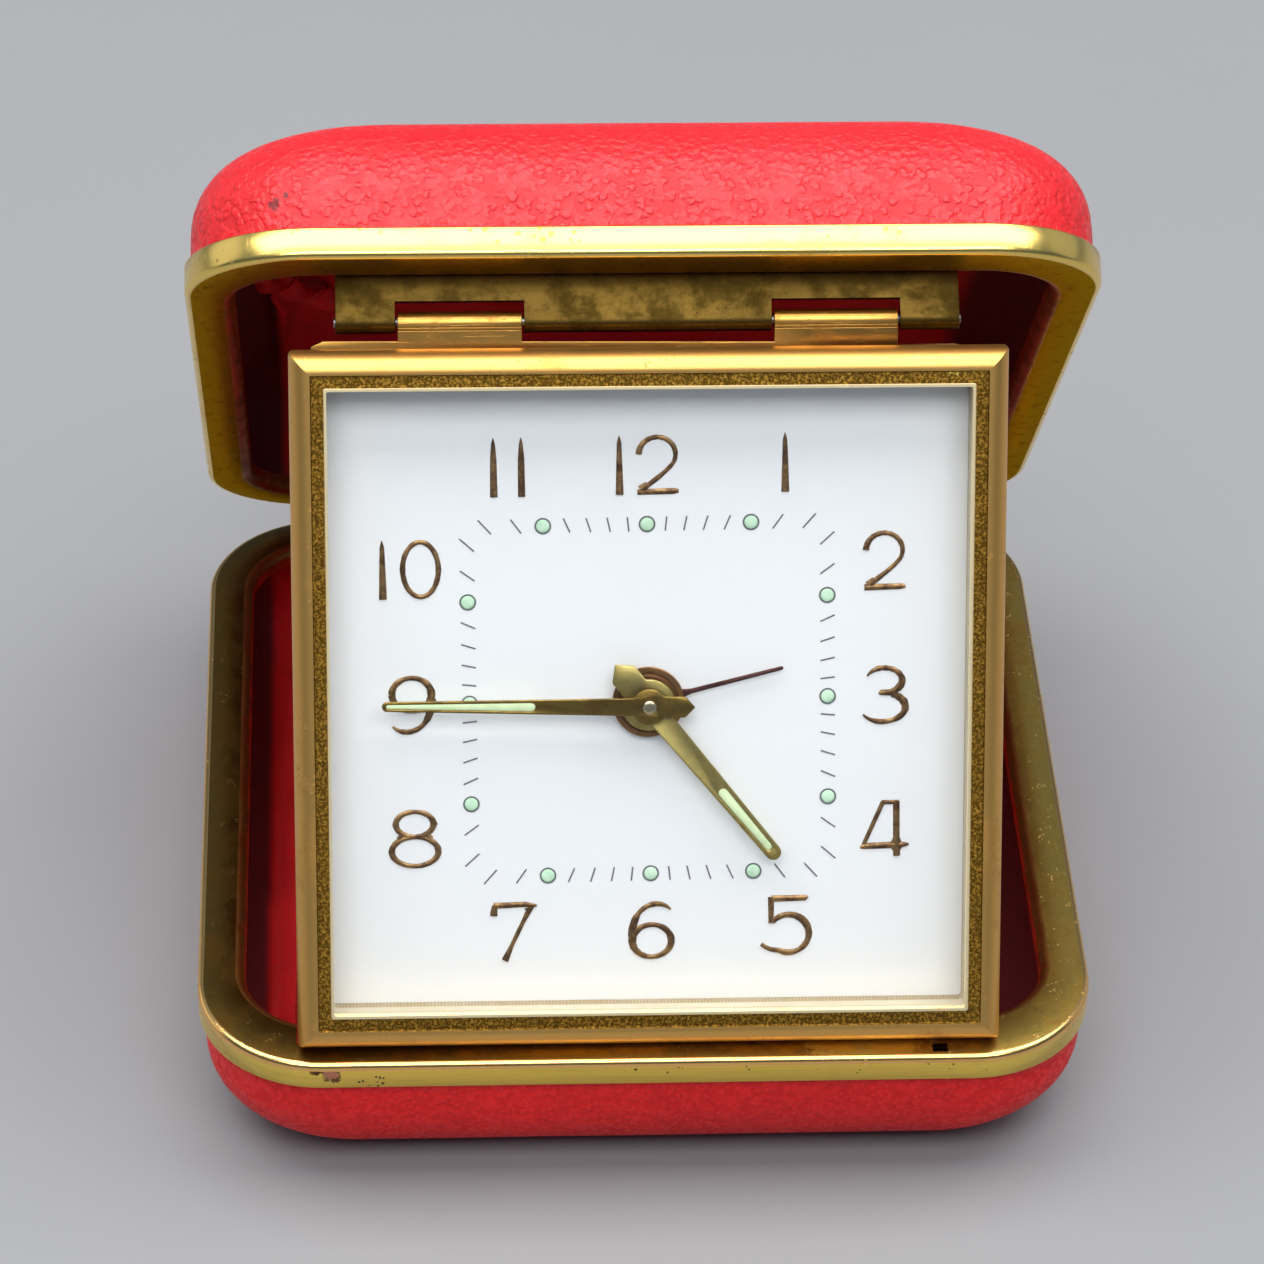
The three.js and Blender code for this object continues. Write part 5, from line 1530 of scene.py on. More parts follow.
    def gathered(self, x: float, y: float, z: float, share: float) -> Point:
        """Moves a point of the cloth inward where it gathers.

        Args:
            x: Across.
            y: Along.
            z: Height.
            share: 0 at the middle of the floor, 1 at the top of the wall.

        Returns:
            The moved point.
        """
        angle = math.atan2(y, x)
        reach = math.hypot(x, y)
        corner = abs(math.sin(2 * angle)) ** 3
        seed = 3.1 if self.is_lid else 7.7
        fold = math.sin(angle * 46 + 5 * noise.noise(Vector((x * 0.06, y * 0.06, seed))))
        pull = max(share - self.gather_start, 0) * 1.5
        depth = pull * (0.12 + 0.75 * corner) * (0.5 + 0.5 * fold)
        ripple = 0.28 * (0.5 + 0.5 * noise.noise(Vector((x * 0.12, y * 0.12, z * 0.12 + seed))))
        side = x if self.is_lid else -x
        line = self.ridge_line + 0.5 * noise.noise(Vector((0.0, y * 0.09, seed)))
        fade = 1 / (1 + math.exp((abs(y) - self.ridge_reach) * 1.2))
        ridge = self.ridge_height * fade * math.exp(-(((side - line) / self.ridge_width) ** 2))
        inward = (depth + 0.3 * ridge + ripple * min(share * 2, 1)) / max(reach, 1)
        return (x * (1 - inward), y * (1 - inward), z + ridge + ripple * max(1 - share * 1.3, 0))

    def build(self) -> None:
        """Builds the half."""
        self.build_cover()
        self.build_shell()
        self.build_rim()
        self.build_lining()


@dataclass
class SoftenedPart:
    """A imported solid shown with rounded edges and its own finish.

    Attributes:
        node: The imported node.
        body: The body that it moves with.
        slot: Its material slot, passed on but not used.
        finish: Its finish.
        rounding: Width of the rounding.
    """

    node: str
    body: str
    slot: str
    finish: Finish
    rounding: float

    def build(self) -> None:
        """Welds a copy of the solid, rounds its edges and dresses it."""
        source = frame["nodes"][self.node]
        mesh = source.data.copy()
        mesh.materials.clear()
        weld = bmesh.new()
        weld.from_mesh(mesh)
        bmesh.ops.remove_doubles(weld, verts=weld.verts, dist=2e-6)
        bmesh.ops.dissolve_limit(weld, angle_limit=math.radians(1.0), verts=weld.verts, edges=weld.edges)
        weld.to_mesh(mesh)
        weld.free()
        obj = Piece(f"{self.node}_softened", self.body, self.slot, self.finish, self.node).adopt(mesh, 32)
        rounded(obj, self.rounding, 32)


# How far the dial lies behind the bezel's crown, the hands' centre below the middle, a hand off its seat
DIAL_DEPTH = 4.6
DIAL_DROP = 0.6
HAND_GAP = 0.06


@dataclass
class BezelAndDial:
    """The bezel, the crystal, the side wall round the dial and what is printed on the dial.

    Attributes:
        place: Where the bezel's crown stands.
        up: The clock's own upward direction.
        half: Half the bezel's size.
        depth: Height of the bezel's side.
        bead: Height of the bead's curve.
        bead_half: From the bezel's side to the bead's crown.
        corner: Corner radius of the bezel.
        opening: Half the size of the opening.
        lip_width: Width of the lip round the opening.
        lip_face: How far the lip lies behind the crown.
        slope_foot: How far the foot of the slope lies behind it.
        back: How far the frame's back lies behind it.
        wall: Thickness of the bezel's side.
        crystal_half: Half the crystal's size.
        crystal_depth: How far the crystal lies behind the crown.
        crystal_thick: Its thickness.
        wall_gap: Clearance round the side wall.
        wall_thick: Thickness of the side wall.
        track_half: Half the size of the square that the dots stand on.
        track_inner: Where the strokes begin, on a square of its own.
        track_outer: Where they end.
        dot_radius: Radius of the dots.
        tick_width: Width of the strokes.
        print_turn: Turn of the print in degrees.
        print_shift: Its shift across.
        figure_half: How far the rows of figures lie above and below the centre.
        figure_reach: How far the columns of figures lie beside it.
        figure_side: How far the outer figures stand along their rows and columns.
    """

    place: Matrix
    up: Point
    half: float = 29.0
    depth: float = 2.5
    bead: float = 2.0
    bead_half: float = 1.56
    corner: float = 0.4
    opening: float = 25.97
    lip_width: float = 0.26
    lip_face: float = 0.04
    slope_foot: float = 0.12
    back: float = 0.98
    wall: float = 0.6
    crystal_half: float = 26.78
    crystal_depth: float = 1.04
    crystal_thick: float = 0.55
    wall_gap: float = 0.06
    wall_thick: float = 0.75
    track_half: float = 14.7
    track_inner: float = 14.12
    track_outer: float = 15.3
    dot_radius: float = 0.69
    tick_width: float = 0.13
    print_turn: float = 0.6
    print_shift: float = 0.08
    figure_half: float = 19.6
    figure_reach: float = 19.4
    figure_side: float = 11.3

    def ring(self, half: float, radius: float, depth: float) -> list[Point]:
        """Returns a square ring at a depth behind the bezel's crown."""
        return [(x, y, -depth) for x, y in outline_ring(half, half, radius, 5, 10)]

    def build_bezel(self) -> None:
        """Builds the folded bezel: satin bead, pitted slope and thin lip."""
        centre = self.half - self.bead_half
        rings = [self.ring(self.half, self.corner, self.depth)]
        steps = 14
        for step in range(steps + 1):
            angle = math.radians(96 * step / steps)
            half = centre + self.bead_half * math.cos(angle)
            radius = max(self.corner - 0.5 * step / steps, 0.06)
            rings.append(self.ring(half, radius, self.bead * (1 - math.sin(angle))))
        kinds = [0] * (steps + 1) + [1, 1, 2, 2, 2, 0, 0, 0]
        lip = self.opening + self.lip_width
        inner = self.half - self.wall
        rings.append(self.ring(centre - 0.26, 0.06, 0.2))
        for half, depth in (
            (lip, self.slope_foot),
            (lip - 0.05, self.lip_face),
            (self.opening, self.lip_face),
            (self.opening, self.back),
            (inner, self.back),
            (inner, self.depth),
        ):
            rings.append(self.ring(half, 0.2, depth))
        piece = Piece("bezel_frame", "clock", "bezel", Finishes.satin_bead, "bezel")
        # The lip's paler gilt is a painted highlight.
        piece.extra = [Finishes.pitted_slope, Finishes.bezel_lip]
        piece.build(self.place, lofted(rings, True), 40, by_band(kinds, rings))

    def build_crystal(self) -> None:
        """Builds the flat crystal with eased edges."""
        ease = 0.12
        top, foot, half = self.crystal_depth, self.crystal_depth + self.crystal_thick, self.crystal_half
        sides = ((half - ease, foot), (half, foot - ease), (half, top + ease), (half - ease, top))
        shape = lofted([self.ring(reach, 1.0, depth) for reach, depth in sides], False)
        Piece("flat_crystal", "clock", "clear", Finishes.crystal, "crystal").build(self.place, shape, 20)

    def build_surround(self) -> None:
        """Builds the ribbed ivory wall between the crystal and the dial."""
        inner = self.opening + self.wall_gap
        outer = inner + self.wall_thick
        low = DIAL_DEPTH - self.wall_gap
        high = self.crystal_depth + self.crystal_thick + self.wall_gap
        middle = (low + high) / 2
        rings = [self.ring(outer, 1.0, low), self.ring(outer, 1.0, high)]
        for half, depth in (
            (inner + 0.08, high),
            (inner, high + 0.1),
            (inner, middle - 0.05),
            (inner + 0.05, middle),
            (inner + 0.05, low),
        ):
            rings.append(self.ring(half, 0.3, depth))
        kinds = [0, 1, 1, 1, 0, 0, 0]
        finish = Ribbed("ribbed_ivory", tone(178, 158, 112), tone(132, 112, 72), self.up)
        piece = Piece("ribbed_dial_wall", "clock", "cream", finish, "dial_surround")
        piece.extra = [Finishes.ivory]
        piece.build(self.place, lofted(rings, True), 30, by_band(kinds, rings))

    def on_dial(self, x: float, y: float, rise: float = 0.0) -> Point:
        """Finds a point above the dial.

        Args:
            x: Across from the hands' centre, before the print's small turn.
            y: Up the dial from the hands' centre.
            rise: Height above the dial.

        Returns:
            The point, measured from the bezel's crown.
        """
        turn = math.radians(self.print_turn)
        across = x * math.cos(turn) - y * math.sin(turn) + self.print_shift
        along = x * math.sin(turn) + y * math.cos(turn)
        return (across, along - DIAL_DROP, -DIAL_DEPTH + rise)

    def build_track(self) -> None:
        """Prints the minute track: thin strokes and luminous dots on a square."""
        verts: list[Point] = []
        faces: list[list[int]] = []
        for minute in range(60):
            angle = math.radians(90 - 6 * minute)
            out = (math.cos(angle), math.sin(angle))
            slant = 1 / max(abs(out[0]), abs(out[1]))
            if minute % 5 == 0:
                self.build_dot(minute // 5, (out[0] * self.track_half * slant, out[1] * self.track_half * slant))
                continue
            first = len(verts)
            low, high = self.track_inner * slant, self.track_outer * slant
            for reach, side in ((low, -0.5), (high, -0.5), (high, 0.5), (low, 0.5)):
                x = out[0] * reach - out[1] * side * self.tick_width
                y = out[1] * reach + out[0] * side * self.tick_width
                verts += [self.on_dial(x, y, 0.005), self.on_dial(x, y, 0.03)]
            top = [first + 2 * corner + 1 for corner in range(4)]
            faces.append(top)
            faces.append([corner - 1 for corner in top][::-1])
            for here, after in zip(top, top[1:] + top[:1]):
                faces.append([here - 1, after - 1, after, here])
        Piece("minute_strokes", "clock", "dial_white", Finishes.ink).build(self.place, (verts, faces))

    def build_dot(self, hour: int, centre: Flat) -> None:
        """Builds one luminous dot with its printed edge.

        Args:
            hour: Its hour, 0 at the top.
            centre: Where it is, from the hands' centre.
        """
        middle = self.on_dial(*centre)
        inner = self.dot_radius - 0.15
        edge = [(0.02, 0.005), (self.dot_radius, 0.005), (self.dot_radius, 0.035), (inner, 0.035), (0.02, 0.034)]
        shape = turned([(r, middle[2] + h) for r, h in edge], 28, middle[:2])
        Piece(f"dot_edge_{hour}", "clock", "dial_white", Finishes.dot_edge).build(self.place, shape)
        rise = [(inner, 0.036), (inner * 0.96, 0.07), (inner * 0.7, 0.11), (0.02, 0.12)]
        shape = turned([(r, middle[2] + h) for r, h in rise], 24, middle[:2])
        Piece(f"dot_lume_{hour}", "clock", "dial_white", Finishes.dot_lume).build(self.place, shape, 60)

    def build_figures(self) -> None:
        """Builds the raised figures on their square."""
        far, near, wide = self.figure_half, self.figure_side, self.figure_reach
        spots = [(near, far), (wide, near), (wide, 0), (wide, -near), (near, -far), (0, -far)]
        spots += [(-x, -y) for x, y in spots]
        for hour, (x, y) in enumerate(spots, start=1):
            verts, faces = Figure(str(hour)).mesh()
            tall, lift = (1.07, 0.17) if hour in (5, 7) else (1.0, 0.0)
            points = [self.on_dial(x + px, y + py * tall + lift, 0.004 + pz) for px, py, pz in verts]
            piece = Piece(f"figure_{hour}", "clock", "dial_white", Finishes.figure_gilt)
            piece.build(self.place, (points, faces), 25)

    def build(self) -> None:
        """Builds everything seen through the bezel but the hands."""
        self.build_bezel()
        self.build_crystal()
        self.build_surround()
        self.build_track()
        self.build_figures()


def arc(cx: float, cy: float, rx: float, ry: float, start: float, end: float, steps: int = 16) -> list[Flat]:
    """Draws part of an ellipse.

    Args:
        cx: Its middle across.
        cy: Its middle along.
        rx: Half its size across.
        ry: Half its size along.
        start: First angle in degrees.
        end: Last angle in degrees.
        steps: Steps between them.

    Returns:
        The points.
    """
    points = []
    for step in range(steps + 1):
        angle = math.radians(start + (end - start) * step / steps)
        points.append((cx + rx * math.cos(angle), cy + ry * math.sin(angle)))
    return points


def eased(first: Flat, handle: Flat, last: Flat, steps: int = 10) -> list[Flat]:
    """Draws a curve with one handle.

    Args:
        first: Where it starts.
        handle: The point that it bends towards.
        last: Where it ends.
        steps: Steps along it.

    Returns:
        The points.
    """
    points = []
    for step in range(steps + 1):
        t = step / steps
        a, b, c = (1 - t) ** 2, 2 * t * (1 - t), t * t
        points.append((a * first[0] + b * handle[0] + c * last[0], a * first[1] + b * handle[1] + c * last[1]))
    return points


@dataclass
class Figure:
    """A raised hour figure drawn with round-topped strokes of changing width.

    Attributes:
        text: The figure's digits.
        rise: Its height.
        strokes: The strokes drawn so far.
    """

    text: str
    rise: float = 0.15
    strokes: list[Stroke] = field(default_factory=list)

    def digit(self, sign: str, x: float) -> None:
        """Adds the strokes of one digit.

        Args:
            sign: The digit.
            x: Where its middle is.
        """
        loop = (0.5, 0.34, 0.5, 0.34, 0.5)
        hook = eased((1.62, 1.78), (1.1, 2.36), (0.2, 2.26), 6) + eased((0.2, 2.26), (-1.5, 1.9), (-1.62, -0.5), 12)[1:]
        shapes: dict[str, list[Stroke]] = {
            "0": [(arc(0, 0, 1.46, 2.28, 0, 360, 36), (0.42, 0.36, 0.42, 0.36, 0.42))],
            "1": [([(0, 2.45), (0, 1.9), (0, 0.6), (0, -2.42)], (0.06, 0.32, 0.46, 0.58))],
            "2": [
                (
                    arc(-0.02, 0.84, 1.5, 1.44, 178, -24, 20) + eased((1.35, 0.24), (0.9, -0.5), (-1.1, -1.9))[1:],
                    (0.5, 0.4, 0.36, 0.4, 0.32, 0.34, 0.42),
                ),
                ([(-0.85, -1.5), (-1.25, -2.05)], (0.3, 0.8)),
                ([(-1.66, -2.24), (1.3, -2.2), (1.7, -2.18)], (0.46, 0.46, 0.3)),
            ],
            "3": [
                (arc(-0.05, 1.22, 1.5, 1.06, 158, -62, 18), (0.12, 0.4, 0.4, 0.44, 0.6, 0.5)),
                ([(-0.5, 0.16), (-0.3, 0.2), (0.9, 0.2)], (0.18, 0.4, 0.5)),
                ([(0.4, 0.2), (1.05, 0.16)], (0.3, 0.9)),
                (arc(-0.15, -1.04, 1.86, 1.22, 66, -152, 20), (0.5, 0.62, 0.5, 0.4, 0.4, 0.12)),
            ],
            "4": [
                ([(-0.12, 2.4), (-0.16, 2.2), (-1.75, -1.35)], (0.1, 0.34, 0.34)),
                ([(-0.2, 2.2), (1.2, 2.2)], (0.34, 0.34)),
                ([(0.96, 2.3), (0.96, -1.0), (0.98, -2.36)], (0.5, 0.54, 0.5)),
                ([(-2.05, -1.62), (-1.7, -1.5), (1.3, -1.44), (1.98, -1.4)], (0.2, 0.5, 0.5, 0.16)),
                ([(0.96, -0.8), (0.96, -1.5), (0.97, -2.0)], (0.5, 1.1, 0.5)),
            ],
            "5": [
                ([(1.72, 2.3), (1.5, 2.18), (-1.3, 2.16)], (0.12, 0.42, 0.46)),
                ([(-1.34, 2.3), (-1.36, 0.4)], (0.46, 0.42)),
                ([(-1.36, 0.7), (-1.3, 0.25)], (0.3, 0.6)),
                (
                    arc(0.08, -0.66, 1.7, 1.52, 140, -118, 22) + [(-1.4, -1.9), (-1.9, -1.68), (-2.2, -1.46)],
                    (0.4, 0.42, 0.58, 0.5, 0.4, 0.44, 0.3),
                ),
            ],
            "6": [
                (hook, (0.14, 0.4, 0.42, 0.36, 0.6, 0.62)),
                (arc(0.03, -0.88, 1.62, 1.38, 0, 360, 34), (0.56, 0.36, 0.62, 0.34, 0.56)),
            ],
            "7": [
                ([(-1.72, 1.3), (-1.7, 1.6), (-1.62, 2.14)], (0.54, 0.56, 0.4)),
                ([(-1.72, 2.1), (0.9, 2.16), (1.85, 2.06)], (0.42, 0.42, 0.2)),
                ([(1.2, 2.0), (1.35, 1.7)], (0.9, 0.36)),
                (eased((1.45, 2.1), (0.55, 0.6), (-0.85, -2.3)), (0.5, 0.36, 0.32, 0.32, 0.5)),
            ],
            "8": [
                (arc(0, 1.22, 1.55, 1.06, 0, 360, 32), loop),
                ([(1.62, 1.32), (1.86, 1.18)], (0.5, 0.12)),
                (arc(0, -1.1, 1.92, 1.24, 0, 360, 34), loop),
                ([(-1.0, 0.34), (-1.35, -0.05)], (0.42, 0.42)),
                ([(1.0, 0.34), (1.35, -0.05)], (0.42, 0.42)),
            ],
        }
        shapes["9"] = [([(-px, -py) for px, py in points], widths) for points, widths in shapes["6"]]
        for points, widths in shapes[sign]:
            self.strokes.append(([(px + x, py) for px, py in points], widths))

    def mesh(self) -> Shape:
        """Builds the figure about its own middle.

        Returns:
            The points and faces.
        """
        if self.text in ("10", "12"):
            self.digit("1", -2.2)
            self.digit(self.text[1], 0.9)
        elif self.text == "11":
            self.digit("1", -1.13)
            self.digit("1", 1.13)
        else:
            self.digit(self.text, 0.0)
        verts: list[Point] = []
        faces: list[list[int]] = []
        for points, widths in self.strokes:
            self.sweep(points, widths, verts, faces)
        return verts, faces

    def sweep(
        self, points: list[Flat], widths: tuple[float, ...], verts: list[Point], faces: list[list[int]]
    ) -> None:
        """Adds one round-topped stroke.

        Args:
            points: Points along the stroke.
            widths: Widths spread evenly along it.
            verts: The points so far, which the stroke adds to.
            faces: The faces so far, which it adds to.
        """
        section = ((-0.5, 0.0), (-0.44, 0.55), (-0.24, 0.9), (0.0, 1.0), (0.24, 0.9), (0.44, 0.55), (0.5, 0.0))
        count = len(section)
        first = len(verts)
        last = len(points) - 1
        for index, (x, y) in enumerate(points):
            ahead = points[min(index + 1, last)]
            behind = points[max(index - 1, 0)]
            dx, dy = ahead[0] - behind[0], ahead[1] - behind[1]
            length = math.hypot(dx, dy) or 1.0
            across = (-dy / length, dx / length)
            stop = index / last * (len(widths) - 1)
            low = min(int(stop), len(widths) - 2)
            width = widths[low] + (widths[low + 1] - widths[low]) * (stop - low)
            width *= 1.1 + 0.08 * math.sin(index * 2.3 + x * 3)
            for side, height in section:
                verts.append((x + across[0] * side * width, y + across[1] * side * width, self.rise * height))
        for index in range(last):
            low = first + index * count
            for step in range(count - 1):
                faces.append([low + step, low + step + 1, low + count + step + 1, low + count + step])
            faces.append([low, low + count, low + 2 * count - 1, low + count - 1])
        faces.append([first + step for step in range(count)])
        faces.append([first + last * count + step for step in range(count)][::-1])


@dataclass
class Hand:
    """A baton hand with a round boss, a pointed tail and a luminous filling.

    Attributes:
        name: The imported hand's name.
        body: The body that it moves with.
        angle: Its turn from the top of the dial in degrees.
        rise: Its height above the dial.
        length: From the centre to the tip.
        root: Width of the blade at the boss.
        tip: Its width at the tip.
        boss: Radius of the boss.
        tail_width: Width of the tail.
        tail: Length of the tail.
        slot: Start, end, first width and last width of the slot.
        bore: Radius of the bore.
        finish: The blade's finish.
        thick: Thickness of the blade.
    """

    name: str
    body: str
    angle: float
    rise: float
    length: float
    root: float
    tip: float
    boss: float
    tail_width: float
    tail: float
    slot: tuple[float, float, float, float]
    bore: float
    finish: Finish
    thick: float = 0.22

    def outline(self) -> list[Flat]:
        """Draws the hand's edge, pointing along +y.

        Returns:
            The points.
        """
        points: list[Flat] = []
        right = math.asin(self.root / 2 / self.boss)
        left = math.asin(self.tail_width / 2 / self.boss)
        tip_y = self.length - self.tip / 2
        points += arc(0, tip_y, self.tip / 2, self.tip / 2, 0, 180, 10)
        points += arc(0, 0, self.boss, self.boss, 90 + math.degrees(right), 270 - math.degrees(left), 14)
        shoulder = self.tail - self.tail_width * 0.46
        points += [(-self.tail_width / 2, -shoulder), (0.0, -self.tail), (self.tail_width / 2, -shoulder)]
        points += arc(0, 0, self.boss, self.boss, -90 + math.degrees(left), 90 - math.degrees(right), 14)
        return points

    def slot_outline(self, grow: float = 0.0) -> list[Flat]:
        """Draws the edge of the slot for the luminous filling.

        Args:
            grow: How far outside the slot the edge lies.

        Returns:
            The points.
        """
        start, end, root, tip = self.slot
        low = root / 2 + grow
        high = tip / 2 + grow
        foot = arc(0, start + root / 2, low, low, 180, 360, 8)
        return foot + arc(0, end - tip / 2, high, high, 0, 180, 8)

    def set(self) -> Matrix:
        """Returns the turn and place of the hand on the face."""
        return Matrix.Translation((0, -DIAL_DROP * MM, 0)) @ Matrix.Rotation(-math.radians(self.angle), 4, "Z")

    def build(self, place: Matrix) -> None:
        """Builds the blade with its slot and bore, and the filling.

        Args:
            place: Where the clock's face stands.
        """
        low = -DIAL_DEPTH + self.rise + HAND_GAP
        at = place @ self.set()
        piece = Piece(f"{self.name}_blade", self.body, "dull_brass", self.finish, self.name)
        blade = piece.build(at, prism(self.outline(), low, low + self.thick))
        carved(blade, at, prism(self.slot_outline(), low - 1, low + 1))
        carved(blade, at, turned([(self.bore, low - 1), (self.bore, low + 1)], 32))
        rounded(blade, 0.08, 40)
        filling = prism(self.slot_outline(-0.01), low + 0.02, low + self.thick - 0.03)
        piece = Piece(f"{self.name}_lume", self.body, "dial_white", Finishes.hand_lume)
        rounded(piece.build(at, filling), 0.05, 40)


@dataclass
class HandSet:
    """The three hands and the pin that they turn on.

    Attributes:
        place: Where the clock's face stands.
        alarm_angle: Turn of the alarm hand in degrees.
        alarm_rise: Its height above the dial.
        alarm_length: Its length.
        disc: Radius of its disc.
        pin_tip: Height of the pin above the dial.
    """

    place: Matrix
    alarm_angle: float = 76.0
    alarm_rise: float = 0.55
    alarm_length: float = 11.4
    disc: float = 2.95
    pin_tip: float = 2.9

    def build_alarm_hand(self) -> None:
        """Builds the dark alarm hand on its ridged disc."""
        low = -DIAL_DEPTH + self.alarm_rise + HAND_GAP
        turn = Matrix.Rotation(-math.radians(self.alarm_angle), 4, "Z")
        at = self.place @ Matrix.Translation((0, -DIAL_DROP * MM, 0)) @ turn
        disc = self.disc
        edge = ((1.5, 0.0), (disc - 0.05, 0.0), (disc, 0.05), (disc, 0.17), (disc - 0.06, 0.22), (2.5, 0.22))
        ridge = ((2.42, 0.14), (2.3, 0.14), (2.2, 0.27), (2.06, 0.27), (1.98, 0.18), (1.5, 0.18))
        rings = [[(x, y, low + up) for x, y in arc(0, 0, size, size, 0, 352.5, 47)] for size, up in edge + ridge]
        piece = Piece("alarm_disc", "alarm_pointer", "bronzed", Finishes.bronzed, "alarm_hand")
        piece.build(at, lofted(rings, True), 30)
        blade = [
            (0.36, disc - 0.1),
            (0.28, disc + 0.25),
            (0.2, disc + 0.7),
            (0.16, self.alarm_length - 0.2),
            (0.1, self.alarm_length),
        ]
        blade += [(-x, y) for x, y in blade[::-1]]
        piece = Piece("alarm_blade", "alarm_pointer", "bronzed", Finishes.browned)
        rounded(piece.build(at, prism(blade, low + 0.02, low + 0.2)), 0.04, 40)

    def build_pin(self) -> None:
        """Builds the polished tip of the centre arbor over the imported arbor's end."""
        low = -DIAL_DEPTH + self.pin_tip
        at = self.place @ Matrix.Translation((0, -DIAL_DROP * MM, 0))
        profile = ((0.05, -0.3), (0.56, -0.3), (0.56, -0.02), (0.5, 0.02), (0.3, 0.05), (0.02, 0.06))
        shape = turned([(radius, low + height) for radius, height in profile], 32)
        Piece("arbor_tip", "minute_work", "nickel", Finishes.polished).build(at, shape, 40)

    def build(self) -> None:
        """Builds the hands from the lowest to the highest."""
        self.build_alarm_hand()
        Hand(
            name="hour_hand",
            body="hour_work",
            angle=140.8,
            rise=1.7,
            length=16.85,
            root=1.8,
            tip=1.32,
            boss=2.15,
            tail_width=2.3,
            tail=4.4,
            slot=(9.25, 15.85, 0.8, 0.56),
            bore=0.95,
            finish=Finishes.hour_brass,
        ).build(self.place)
        Hand(
            name="minute_hand",
            body="minute_work",
            angle=270.7,
            rise=2.45,
            length=21.8,
            root=1.5,
            tip=0.82,
            boss=1.5,
            tail_width=1.75,
            tail=3.75,
            slot=(9.3, 21.45, 0.72, 0.36),
            bore=0.6,
            finish=Finishes.minute_brass,
        ).build(self.place)
        self.build_pin()


@dataclass
class Hardware:
    """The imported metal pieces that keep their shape: hinge, back fittings and movement.

    Attributes:
        pin: The clock's hinge pin, in metres.
        up: The clock's own upward direction.
        softened: Nodes shown with rounded edges, each with its body, slot, finish and rounding.
        plain: Finishes, each with nodes that it goes on as they are.
    """

    pin: Vector
    up: Point
    softened: tuple[tuple[str, str, str, str, float], ...] = (
        ("clock_bracket", "lid", "dull_brass", "olive_brass", 0.08),
        ("clock_hinge_leaf", "clock", "gilt", "knuckle_gilt", 0.05),
        ("clock_hinge_pin", "lid", "steel", "steel", 0.05),
        ("base_hinge_leaf", "base", "gilt", "knuckle_gilt", 0.05),
        ("lid_hinge_leaf", "lid", "gilt", "knuckle_gilt", 0.05),
        ("case_hinge_pin", "base", "steel", "steel", 0.05),
        ("catch_spring", "base", "dull_brass", "olive_brass", 0.05),
        ("clock_case", "clock", "brass", "machined_brass", 0.1),
        ("back_cover", "clock", "brass", "machined_brass", 0.12),
        ("time_setting_knob", "minute_work", "brass", "knuckle_gilt", 0.12),
        ("alarm_setting_knob", "alarm_setter", "brass", "knuckle_gilt", 0.12),
        ("time_winding_key", "time_winder", "brass", "knuckle_gilt", 0.12),
        ("alarm_winding_key", "alarm_winder", "brass", "knuckle_gilt", 0.12),
        ("regulator_lever", "regulator", "nickel", "nickel", 0.06),
        ("alarm_stop_lever", "alarm_stop", "brass", "nickel", 0.1),
        *((f"back_screw_{number}", "clock", "nickel", "nickel", 0.06) for number in range(1, 5)),
    )
    plain: tuple[tuple[str, str], ...] = (
        ("dial_white", "dial"),
        ("steel", "time_winding_arbor alarm_winding_arbor pallet_lever hairspring alarm_hammer"),
        ("machined_brass", "movement_front_plate movement_back_plate centre_arbor hour_wheel alarm_wheel"),
        ("machined_brass", "minute_wheel time_barrel alarm_barrel alarm_setting_arbor third_wheel"),
        ("machined_brass", "fourth_wheel escape_wheel balance_wheel"),
    )

    def build(self) -> None:
        """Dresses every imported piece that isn't rebuilt."""
        middle = Vector(self.up).dot(self.pin) / MM
        seams = tuple((self.up, middle + away, 0.07) for away in (-0.26, -0.52))
        rolled = replace(Finishes.knuckle_gilt, name="rolled_knuckle_gilt", seams=seams)
        for node, body, slot, finish, rounding in self.softened:
            chosen = rolled if node == "clock_hinge_leaf" else getattr(Finishes, finish)
            SoftenedPart(node, body, slot, chosen, rounding).build()
        for finish, nodes in self.plain:
            for node in nodes.split():
                mesh = frame["nodes"][node].data
                mesh.materials.clear()
                mesh.materials.append(getattr(Finishes, finish).material())
                LOG.info("node %s takes %s", node, finish)


